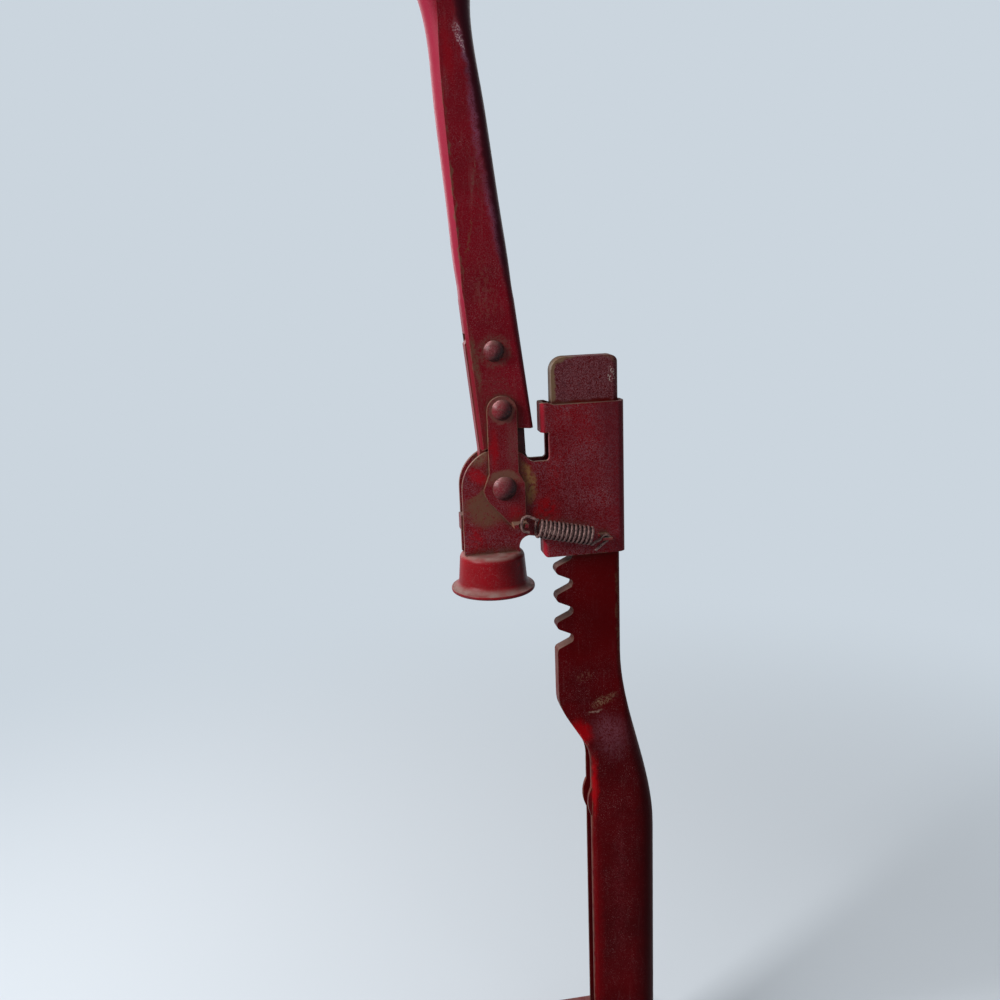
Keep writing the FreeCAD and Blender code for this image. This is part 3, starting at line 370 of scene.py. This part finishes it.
def finished(name, width, material, limit=26.0):
    """A copy of a CAD node that rides where the node does.

    Its loose triangles are joined where they share a point, and those that lie flat are made one face. Edges
    that turn by more than limit degrees are then broken by a width in millimetres.
    """
    source = frame["nodes"][name]
    mesh = source.data.copy()
    work = bmesh.new()
    work.from_mesh(mesh)
    bmesh.ops.remove_doubles(work, verts=work.verts, dist=SAME_POINT)
    bmesh.ops.dissolve_limit(work, angle_limit=FLAT_ANGLE, verts=work.verts, edges=work.edges)
    work.to_mesh(mesh)
    work.free()
    mesh.shade_smooth()
    mesh.materials.clear()
    mesh.materials.append(material)
    made = bpy.data.objects.new(name + "_finished", mesh)
    bpy.context.scene.collection.objects.link(made)
    bevel = made.modifiers.new("Broken edges", "BEVEL")
    bevel.width = width / 1000.0
    bevel.segments = 2
    bevel.limit_method = "ANGLE"
    bevel.angle_limit = math.radians(limit)
    bevel.harden_normals = True
    flats = made.modifiers.new("Flat faces", "WEIGHTED_NORMAL")
    flats.keep_sharp = True
    flats.weight = 90
    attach(made, source["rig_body"])
    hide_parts(name)
    return made


base_marks = (
    # The ground around the seat, dirty from bottles.
    blotch((18.0, 0.0, -346.0), (34.0, 40.0, 8.0), (9.0, 0.35, 0.65), colour(84, 50, 44), 0.5, soft=0.9),
    # Paint that shows through the dust.
    (both(facing(UP, 0.6, 0.9), broken(0.7, 0.52, 0.62)), colour(70, 8, 14), 0.5),
)
finished("base_plate", 0.3, enamel("base_enamel", speck=0.55, bloom=0.4, dust=0.50, edge=0.7, marks=base_marks))

# Bottle pad: a disc of black rubber, laid loose in the round seat. Bottles have dulled it and left a paler
# ring where they stood, and dust has settled into its skin.
SEAT_CENTRE = at(-6.3, 0.0, 0.0)
RUBBER_DARK, RUBBER_LIGHT = colour(36, 34, 34), colour(56, 52, 50)
STOOD_ON, PAD_DUST = colour(104, 96, 90), colour(112, 102, 94)
rubber, tree, output = blank("pad_rubber")
place = add(tree, "ShaderNodeTexCoord").outputs["Object"]
tone = mixed(tree, cloud(tree, place, 0.030, 0.30, 0.75, detail=7.0), RUBBER_DARK, RUBBER_LIGHT)
from_seat = reach_from(tree, place, SEAT_CENTRE, (1.0, 1.0, 0.0))
stood_on = calc(tree, "MULTIPLY", fade(tree, from_seat, 0.024, 0.031), fade(tree, from_seat, 0.040, 0.034))
stood_on = calc(tree, "MULTIPLY", stood_on, cloud(tree, place, 0.009, 0.30, 0.65, detail=8.0))
tone = mixed(tree, calc(tree, "MULTIPLY", stood_on, 0.7), tone, STOOD_ON)
tone = mixed(tree, cloud(tree, place, 0.0006, 0.56, 0.70), tone, PAD_DUST)
scuff = add(tree, "ShaderNodeTexNoise", {"Vector": place, "Scale": 700.0, "Detail": 4.0}).outputs["Fac"]
bump = add(tree, "ShaderNodeBump", {"Height": scuff, "Strength": 0.5, "Distance": 0.0003})
skin = add(tree, "ShaderNodeBsdfPrincipled", {"Base Color": tone, "Roughness": 0.82,
                                              "Normal": bump.outputs["Normal"], "Specular IOR Level": 0.3})
tree.links.new(skin.outputs[0], output.inputs["Surface"])
finished("bottle_pad", 0.2, rubber)

# Column: one steel sheet folded double at the back, pressed flat above and punched with the rack's teeth,
# opened to a channel below. Its sides have stayed dark red, with painted shade towards the back. Above the
# head it is filmed and bare along its edges, a painted highlight lies at the slope and on the front flange,
# and the head has rubbed the back fold brown.
PAINTED_HIGHLIGHT_RED, BARE_RIM = colour(150, 0, 8), colour(112, 88, 66)
above_head = beyond((30.0, 0.0, 40.5), UP, 1.5)
column_marks = (
    # Flat sides: painted shade, darker towards the back, and a painted highlight, a little brighter behind the teeth.
    (both(beyond((36.0, -3.0, -60.0), RIGHT, 18.0), beyond((30.0, 0.0, -100.0), UP, 20.0)), colour(60, 0, 2), 0.6),
    (both(beyond((20.0, -3.6, -108.0), UP, 14.0), beyond((33.0, 0.0, -40.0), RIGHT, 4.0)), colour(84, 0, 2), 0.4),
    # Film above the head, and the paint that shows through it.
    (both(above_head, broken(0.45, 0.42, 0.56)), colour(112, 70, 76), 0.85),
    (both(above_head, broken(1.7, 0.50, 0.62)), colour(62, 18, 24), 0.45),
    # Bare front edge, rounded top and back corner of the bar, with chips at the back.
    (both(beyond((28.2, 0.0, 44.0), LEFT, 0.9), above_head, broken(1.6, 0.2, 0.45)), BARE_RIM, 0.9),
    (both(beyond((28.0, 0.0, 58.6), (-0.4, 0.0, 1.0), 1.8), broken(1.6, 0.2, 0.45)), BARE_RIM, 0.85),
    (both(beyond((55.0, 0.0, 60.0), (0.55, 0.0, 1.0), 2.2), broken(1.6, 0.3, 0.55)), colour(98, 70, 58), 0.7),
    blotch((56.4, -3.0, 53.0), (2.2, 4.0, 5.0), (0.9, 0.52, 0.58), colour(160, 142, 136), 0.9),
    (both(beyond((59.0, 0.0, 44.0), RIGHT, 0.8), beyond((30.0, 0.0, 42.0), UP, 2.0), broken(1.4, 0.48, 0.60)),
     colour(150, 128, 120), 0.8),
    # Back fold, rubbed by the head.
    blotch((58.6, -3.0, -72.0), (1.5, 5.0, 36.0), (2.5, 0.36, 0.6), colour(92, 58, 42), 0.6, turn=0.6),
    # Slope into the channel: dust above it, film, a painted highlight at the front, and two pale scuffs.
    blotch((40.0, -4.0, -106.0), (7.0, 3.0, 4.0), (0.8, 0.50, 0.60), colour(110, 66, 56), 0.6, turn=10.0, soft=0.8),
    blotch((53.0, -6.0, -141.0), (14.0, 5.0, 19.0), (0.9, 0.34, 0.60), colour(102, 56, 66), 0.65, turn=20.0,
           soft=0.7),
    (patch((38.0, -5.0, -137.0), (6.5, 5.0, 11.0), 35.0, 0.8), PAINTED_HIGHLIGHT_RED, 0.75),
    blotch((50.5, -4.0, -121.0), (10.0, 3.0, 3.6), (0.8, 0.44, 0.58), colour(128, 98, 76), 0.7, turn=22.0, soft=0.8),
    blotch((45.0, -5.0, -126.5), (5.0, 3.0, 1.0), (1.2, 0.35, 0.6), colour(136, 108, 98), 0.7, turn=12.0, soft=0.6),
    # Channel: a painted highlight on the front flange and down its left side, a faint film, and painted shade on the
    # dark back.
    (patch((43.8, -7.5, -168.0), (2.8, 3.0, 24.0), 0.0, 0.8), PAINTED_HIGHLIGHT_RED, 0.7),
    (patch((44.5, -8.0, -260.0), (4.5, 3.0, 90.0), 0.0, 0.9), colour(104, 0, 6), 0.6),
    blotch((57.0, -8.0, -230.0), (6.0, 3.0, 70.0), (1.6, 0.40, 0.66), colour(104, 34, 40), 0.4, soft=0.9),
    (both(beyond((62.0, -8.0, -170.0), RIGHT, 10.0), beyond((62.0, 0.0, -140.0), DOWN, 10.0)), colour(42, 0, 2), 0.8),
)
finished("column", 0.25, enamel("column_enamel", main=colour(80, 0, 3), dark=colour(62, 0, 2),
                                speck=0.26, bloom=0.10, dust=0.8, cut=0.25, edge=0.6, shine=0.03,
                                grain=(1.0, 1.0, 0.10), marks=column_marks))


# Foot rivets: mild steel, headed cold over the column's two feet, never painted and gone dull.
def dull_steel(name, light, dark):
    """Unpainted steel that has browned unevenly."""
    material, tree, output = blank(name)
    place = add(tree, "ShaderNodeTexCoord").outputs["Object"]
    tone = mixed(tree, cloud(tree, place, 0.003, 0.3, 0.7, detail=6.0), light, dark)
    # Grime and painted shade darken the steel where other surfaces are close.
    hidden = add(tree, "ShaderNodeAmbientOcclusion", {"Distance": 0.003}, samples=8).outputs["AO"]
    tone = mixed(tree, calc(tree, "MULTIPLY", fade(tree, hidden, 0.9, 0.4), 0.8), tone, GRIME_AND_SHADE)
    rough = add(tree, "ShaderNodeMapRange", {"Value": cloud(tree, place, 0.0012, 0.3, 0.7), "To Min": 0.42,
                                             "To Max": 0.7}).outputs["Result"]
    skin = add(tree, "ShaderNodeBsdfPrincipled", {"Base Color": tone, "Metallic": 0.8, "Roughness": rough})
    tree.links.new(skin.outputs[0], output.inputs["Surface"])
    return material


finished("foot_rivets", 0.2, dull_steel("rivet_steel", colour(150, 136, 124), colour(104, 82, 68)))

# Head shell: one folded sheet, the sleeve that rides on the rack and the two cheeks of the nose. It is dulled
# all over by a fine film; the swinging link has rubbed an arc beside the pivot, and oily dust has crept out
# along the link's other side.
CHEEK = -6.0
shell_marks = (
    # The back of the sleeve, darker towards the fold.
    (beyond((46.0, 0.0, 0.0), (1.0, 0.0, 0.15), 16.0), colour(66, 18, 26), 0.55),
    # Brighter paint, twice on the right of the pivot and once on the left of the link.
    blotch((21.0, CHEEK, -13.0), (10.0, 3.0, 11.0), (2.4, 0.32, 0.58), colour(140, 1, 10), 0.7, soft=0.8),
    blotch((26.0, CHEEK, 6.0), (6.0, 3.0, 18.0), (1.2, 0.4, 0.6), colour(124, 2, 12), 0.5, soft=0.8),
    blotch((-13.0, CHEEK, 6.5), (8.0, 3.0, 4.5), (1.2, 0.2, 0.5), colour(150, 6, 20), 0.6, turn=-28.0, soft=0.7),
    # Front walls of the sleeve, facing left: painted red rather than bare, and lighter pink as a painted highlight.
    (both(facing((-1.0, -0.2, 0.0), 0.3, 0.9), beyond((15.0, 0.0, 0.0), RIGHT, 2.0)), colour(140, 22, 38), 0.8),
    # The arc that the link has rubbed.
    (both(ring((0.0, CHEEK, 0.0), 8.0, 17.8, 3.2), beyond((9.0, CHEEK, 0.0), (1.0, 0.0, 0.12), 4.0),
          beyond((0.0, CHEEK, -13.0), UP, 5.0), broken(1.6, 0.28, 0.56)), colour(134, 98, 60), 0.8),
    # Oily dust below the link, and dust above it on the nose's round corner.
    (both(beyond((-9.0, CHEEK, 1.5), (0.48, 0.0, -0.88), 1.2), beyond((2.9, CHEEK, -18.4), (-0.55, 0.0, 0.83), 9.0),
          patch((-8.0, CHEEK, -8.0), (16.0, 4.0, 15.0), 0.0, 0.5), broken(1.4, 0.25, 0.5)), colour(98, 66, 50), 0.85),
    blotch((-12.0, CHEEK, 16.0), (8.0, 3.0, 5.0), (1.4, 0.25, 0.55), colour(110, 84, 66), 0.8, turn=35.0, soft=0.7),
    # A painted highlight low on the nose.
    blotch((-15.0, CHEEK, -26.0), (6.5, 3.0, 9.0), (2.2, 0.3, 0.7), colour(158, 14, 26), 0.6, soft=0.8),
)
finished("head_shell", 0.22, enamel("shell_enamel", main=colour(118, 1, 14), dark=colour(94, 0, 8),
                                    speck=0.62, bloom=1.0, dust=0.65, cut=0.5, edge=1.0, shine=0.07,
                                    grain=(1.0, 1.0, 0.35), marks=shell_marks))

# Bell hanger: a square steel bar welded between the cheeks, out of reach and dirty, with strong grime and painted
# shade in its corners.
finished("bell_hanger", 0.2, enamel("hanger_enamel", main=DEEP, speck=0.6, bloom=0.6, dust=0.9, corner_shade_and_grime=0.95))

# Crimping bell: turned from bar and sprayed. Painted shade darkens its right, dust covers its top and the
# flare, and the lowest edge of its lip is darker and greyer.
bell_marks = (
    # Painted shade on the side turned to the right.
    (both(facing((1.0, 0.1, -0.2), 0.0, 0.85), broken(3.0, 0.2, 0.5)), colour(38, 0, 6), 0.75),
    # The lowest edge of the lip, darker and greyer.
    (both(beyond((0.0, 0.0, -52.2), DOWN, 0.9), broken(2.0, 0.2, 0.5)), colour(86, 32, 36), 0.8),
)
finished("crown_bell", 0.15, enamel("bell_enamel", main=colour(136, 1, 14), dark=colour(108, 0, 8), speck=0.34,
                                    bloom=0.12, dust=0.95, edge=0.6, shine=0.11, marks=bell_marks))

# Bell rivet: the steel stem through the hanger, with its head inside the bell.
finished("bell_rivet", 0.15, dull_steel("stem_steel", colour(140, 128, 118), colour(86, 66, 56)))

# Handle: folded sheet, flat at the foot and pressed round at the grip. A painted highlight makes its left
# flank paler and painted shade makes its right edge nearly black; hands have worn a purple-grey streak down
# its face, with a chip at the top, and a brown crease and slanting scratches run below.
LEFT_FLANK, STREAK_NOISE = (-1.0, -0.15, 0.0), (0.5, 0.36, 0.56)
WORN_BROWN = colour(92, 66, 52)
handle_marks = (
    # Flanks: a painted highlight on the left one, paler above and less below, then painted shade on the right one.
    (both(facing(LEFT_FLANK, 0.35, 0.85), beyond((0.0, 0.0, 50.0), UP, 60.0)), colour(146, 40, 62), 0.65),
    (both(facing(LEFT_FLANK, 0.35, 0.85), beyond((0.0, 0.0, 100.0), DOWN, 40.0)), colour(104, 20, 32), 0.6),
    (facing((1.0, -0.3, 0.0), 0.45, 0.9), colour(48, 14, 24), 0.6),
    # Painted shade: a dark band along the face's right edge, where it rounds away from the light.
    (both(beyond((-7.6, 0.0, 163.5), (1.0, 0.0, 0.152), 3.4), beyond((0.0, 0.0, 88.0), UP, 26.0)),
     colour(48, 8, 20), 0.8),
    # The worn streak in three lengths, and the chip at its top.
    blotch((-12.0, -9.0, 204.0), (2.2, 4.0, 16.0), STREAK_NOISE, colour(120, 76, 98), 0.75, turn=15.0, soft=0.95),
    blotch((-8.0, -8.0, 173.0), (2.8, 4.0, 30.0), STREAK_NOISE, colour(116, 66, 88), 0.75, turn=6.0, soft=0.95),
    blotch((-1.2, -7.0, 131.0), (3.0, 4.0, 34.0), (0.5, 0.38, 0.56), colour(116, 66, 86), 0.75, turn=10.0, soft=0.95),
    blotch((-13.2, -9.0, 208.0), (1.6, 4.0, 8.5), (0.8, 0.50, 0.56), colour(178, 150, 152), 0.85, turn=20.0, soft=0.6),
    # Slanting scratches.
    blotch((-9.0, -7.0, 150.0), (0.9, 4.0, 20.0), (0.9, 0.42, 0.58), colour(104, 64, 58), 0.6, turn=-9.0, soft=0.7),
    blotch((-12.6, -7.0, 120.0), (0.9, 4.0, 16.0), (0.9, 0.42, 0.58), colour(100, 62, 46), 0.6, turn=-10.0, soft=0.7),
    # Bright paint at the upper left, and the crease below it.
    (patch((-19.0, -8.0, 203.0), (3.4, 5.0, 22.0), 6.0, 0.9), colour(132, 0, 14), 0.5),
    blotch((-18.6, -7.5, 140.0), (0.75, 5.0, 62.0), (5.0, 0.30, 0.56), WORN_BROWN, 0.65, turn=3.8),
    # Scuffed paint lower down, round the upper rivet and at the foot.
    blotch((-6.0, -6.0, 96.0), (9.0, 4.0, 26.0), (1.6, 0.46, 0.60), colour(104, 50, 46), 0.6, turn=6.0, soft=0.9),
    blotch((-8.0, -6.0, 150.0), (8.0, 4.0, 50.0), (1.2, 0.50, 0.62), colour(100, 42, 44), 0.5, turn=6.0, soft=0.9),
    blotch((-11.4, -6.0, 62.0), (2.2, 4.0, 20.0), (1.2, 0.32, 0.56), WORN_BROWN, 0.7, turn=6.0, soft=0.6),
    (both(ring((-2.6, -6.0, 67.8), 4.6, 9.4, 2.2), broken(1.2, 0.34, 0.56)), colour(96, 58, 52), 0.6),
    blotch((-2.0, -6.0, 44.0), (14.0, 4.0, 22.0), (1.2, 0.42, 0.6), colour(92, 48, 44), 0.5, soft=0.8),
)
finished("handle", 0.15, enamel("handle_enamel", main=colour(112, 0, 18), dark=colour(92, 0, 12), speck=0.36,
                                bloom=0.30, dust=0.5, edge=1.0, shine=0.06, grain=(1.0, 1.0, 0.10),
                                marks=handle_marks), limit=18.0)

# Lever arm: thick plate between the handle's walls, with two teeth that roll on the rack. Its back shows red
# on the left of the handle's foot, and a painted shadow makes its front edge, towards the rack, nearly black.
# Painted shadow on the front edge.
arm_marks = ((beyond((4.0, 0.0, 40.0), (1.0, 0.0, 0.1), 5.0), colour(30, 12, 18), 0.85),)
finished("lever_arm", 0.25, enamel("arm_enamel", speck=0.4, bloom=0.4, dust=0.8, edge=0.5, marks=arm_marks))

# Links: two punched plates from the lower rivet to the pivot, one on each side. The near one has a tail that
# is turned out and holds the spring. Their faces are speckled on the right and bright on the left.
PLATE = -8.2
link_marks = (
    # Bright left, speckled right.
    blotch((-4.6, PLATE, 20.0), (3.2, 3.0, 14.0), (1.4, 0.25, 0.5), colour(136, 4, 16), 0.75, soft=0.8),
    blotch((4.5, PLATE, 22.0), (4.0, 3.0, 20.0), (1.0, 0.36, 0.55), colour(98, 48, 46), 0.7, soft=0.7),
    # Dirt round the pivot's head and the lower rivet's.
    (both(ring((0.0, PLATE, 0.0), 5.6, 10.4, 2.0), beyond((0.0, 0.0, 1.0), UP, 5.0), broken(1.4, 0.2, 0.5)),
     colour(104, 72, 58), 0.8),
    (both(ring((0.0, PLATE, 39.2), 4.6, 7.6, 1.5), broken(1.4, 0.2, 0.5)), colour(104, 66, 58), 0.7),
    # Bright paint towards the tail.
    blotch((5.0, PLATE, -13.0), (5.0, 3.0, 7.0), (1.0, 0.25, 0.55), colour(134, 4, 16), 0.6, soft=0.9),
)
for name in ("link_near", "link_far"):
    finished(name, 0.2, enamel(name + "_enamel", main=colour(104, 1, 13), speck=0.50, bloom=0.75, dust=0.8, cut=0.6,
                               edge=1.0, shine=0.08, marks=link_marks))

# Rivets: three shafts headed on both sides and sprayed with the rest. Each dome has a painted highlight at
# its upper left and painted shade, nearly black, at its lower right, and is freckled with rust.
rivet_marks = (
    # Painted highlight at the upper left.
    (both(facing((-0.62, -0.30, 0.72), 0.78, 0.98), broken(1.1, 0.3, 0.6)), colour(200, 140, 144), 0.55),
    # Painted shade at the lower right.
    (both(facing((0.75, 0.1, -0.66), -0.30, 0.50), broken(1.0, 0.25, 0.5)), colour(18, 3, 5), 0.95),
    (broken(0.8, 0.50, 0.62), colour(84, 50, 46), 0.6),
)
rivet_enamel = enamel("rivet_enamel", main=colour(108, 10, 22), dark=colour(60, 14, 18), speck=0.7, bloom=0.45,
                      dust=0.60, edge=0.3, shine=0.20, marks=rivet_marks)
for name in ("upper_rivet", "lower_rivet", "pivot_rivet"):
    finished(name, 0.15, rivet_enamel)


# Return spring: a close coil of hard wire from the link's tail to the ear on the sleeve, with a hook at each
# end, left unpainted and furred with dust. It stretches as the handle comes over. It is made here of three
# lengths: the left hook, the coil and the right hook.
def through(points, steps=14):
    """A smooth line through points given in millimetres from the pivot.

    Between two points it is a cubic, whose slope at each is half the way from the point before to the next.
    """
    given = np.array([at(*point) for point in points])
    padded = np.concatenate([2 * given[:1] - given[1:2], given, 2 * given[-1:] - given[-2:-1]])
    slope = (padded[2:] - padded[:-2]) / 2
    t = np.linspace(0.0, 1.0, steps, endpoint=False)[None, :, None]
    line = (given[:-1, None] * (2 * t ** 3 - 3 * t ** 2 + 1) + slope[:-1, None] * (t ** 3 - 2 * t ** 2 + t)
            + given[1:, None] * (3 * t ** 2 - 2 * t ** 3) + slope[1:, None] * (t ** 3 - t ** 2))
    return np.concatenate([line.reshape(-1, 3), given[-1:]])


def wire(name, line, radius, steady, material, sides=12):
    """A round wire: a circle carried square to a line of points, closed by a blunt point at each end.

    The circle's first direction is a steady direction less its share along the line, and the second is square
    to both.
    """
    run = np.gradient(line, axis=0)
    run /= np.linalg.norm(run, axis=1, keepdims=True)
    first = np.broadcast_to(steady, line.shape) - run * (run @ np.array(steady))[:, None]
    first /= np.linalg.norm(first, axis=1, keepdims=True)
    second = np.cross(run, first)
    turn = np.linspace(0.0, 2 * np.pi, sides, endpoint=False)[None, :, None]
    skin = line[:, None] + radius * (np.cos(turn) * first[:, None] + np.sin(turn) * second[:, None])
    tips = np.stack([line[0] - run[0] * radius * 0.6, line[-1] + run[-1] * radius * 0.6])
    vertices = np.concatenate([skin.reshape(-1, 3), tips])
    row, column = np.meshgrid(np.arange(len(line) - 1), np.arange(sides), indexing="ij")
    low, high = row * sides + column, row * sides + (column + 1) % sides
    walls = np.stack([low, high, high + sides, low + sides], axis=-1).reshape(-1, 4)
    around = np.arange(sides)
    last = (len(line) - 1) * sides
    start = np.stack([(around + 1) % sides, around, np.full(sides, len(vertices) - 2)], axis=1)
    end = np.stack([last + around, last + (around + 1) % sides, np.full(sides, len(vertices) - 1)], axis=1)
    mesh = bpy.data.meshes.new(name)
    mesh.from_pydata(vertices.tolist(), [], walls.tolist() + start.tolist() + end.tolist())
    mesh.shade_smooth()
    mesh.materials.append(material)
    made = bpy.data.objects.new(name, mesh)
    bpy.context.scene.collection.objects.link(made)
    return made


WIRE_RADIUS, COIL_RADIUS = 0.74, 4.2
TURNS, LEAD, COIL_POINTS = 13.5, 7.5, 561
SPRING_Y = -13.7
TOWARDS_EYE = np.array((0.0, -1.0, 0.0))
WIRE_LIGHT, WIRE_DARK, SHADE_BETWEEN_TURNS = colour(122, 92, 87), colour(70, 44, 43), colour(14, 4, 5)
left_eye, right_eye = np.array((7.0, SPRING_Y, -18.4)), np.array((50.4, SPRING_Y, -28.2))
span = np.linalg.norm(right_eye - left_eye)
spring_way = (right_eye - left_eye) / span
downward = np.cross(spring_way, TOWARDS_EYE)
phase = np.linspace(0.0, 1.0, COIL_POINTS)[:, None]
winding = np.pi + phase * TURNS * 2 * np.pi
# The coil's centre runs from one lead to the other, and the wire goes round it on a circle square to its way.
coil_line = (left_eye + spring_way * LEAD + (right_eye - left_eye - spring_way * 2 * LEAD) * phase
             + COIL_RADIUS * (np.cos(winding) * downward + np.sin(winding) * TOWARDS_EYE))
coil_start, coil_end = coil_line[0], coil_line[-1]
left_hook = (coil_start, coil_start + (-0.5, -0.7, 0.1), (12.4, SPRING_Y - 0.6, -14.5), (9.8, SPRING_Y, -13.7),
             (7.6, SPRING_Y, -14.7), (6.8, SPRING_Y, -17.0), (7.0, SPRING_Y, -19.6), (8.3, SPRING_Y, -21.3),
             (10.6, SPRING_Y, -21.9))
right_hook = (coil_end, coil_end + (0.4, -0.7, 0.0), coil_end + (1.6, -0.5, 0.8), (46.4, SPRING_Y, -28.9),
              (49.0, SPRING_Y, -26.9), (50.5, SPRING_Y, -26.8), (51.1, SPRING_Y, -27.9), (50.5, SPRING_Y, -29.2),
              (47.4, SPRING_Y, -31.6), (44.3, SPRING_Y, -34.0))

spring_steel, tree, output = blank("spring_wire")
place = add(tree, "ShaderNodeTexCoord").outputs["Object"]
tone = mixed(tree, cloud(tree, place, 0.0009, 0.40, 0.62, detail=5.0), WIRE_LIGHT, WIRE_DARK)
# Painted shade: the wire goes nearly black where the turns lie close.
hidden = add(tree, "ShaderNodeAmbientOcclusion", {"Distance": 0.0022}, samples=8).outputs["AO"]
tone = mixed(tree, calc(tree, "MULTIPLY", fade(tree, hidden, 0.90, 0.46), 0.98), tone, SHADE_BETWEEN_TURNS)
skin = add(tree, "ShaderNodeBsdfPrincipled", {"Base Color": tone, "Roughness": 0.62, "Specular IOR Level": 0.35,
                                              "Metallic": 0.25})
tree.links.new(skin.outputs[0], output.inputs["Surface"])

# Each length: its name, its line, a steady direction for its circle, and start and end, as parts of the way
# from eye to eye, where the head's share of the motion is 0 and 1.
coil_metres = np.array([at(0, 0, 0)]) + coil_line / 1000
for name, line, steady, start, end in (
        ("spring_left_hook", through(left_hook), (0.5, 0.55, 0.8), 0.0, 0.43),
        ("spring_coil", coil_metres, tuple(spring_way), -0.385, 1.02),
        ("spring_right_hook", through(right_hook), (-0.6, 0.55, 0.8), -0.259, 1.0)):
    length = wire(name, line, WIRE_RADIUS / 1000, steady, spring_steel)
    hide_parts("return_spring")
    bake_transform(length)
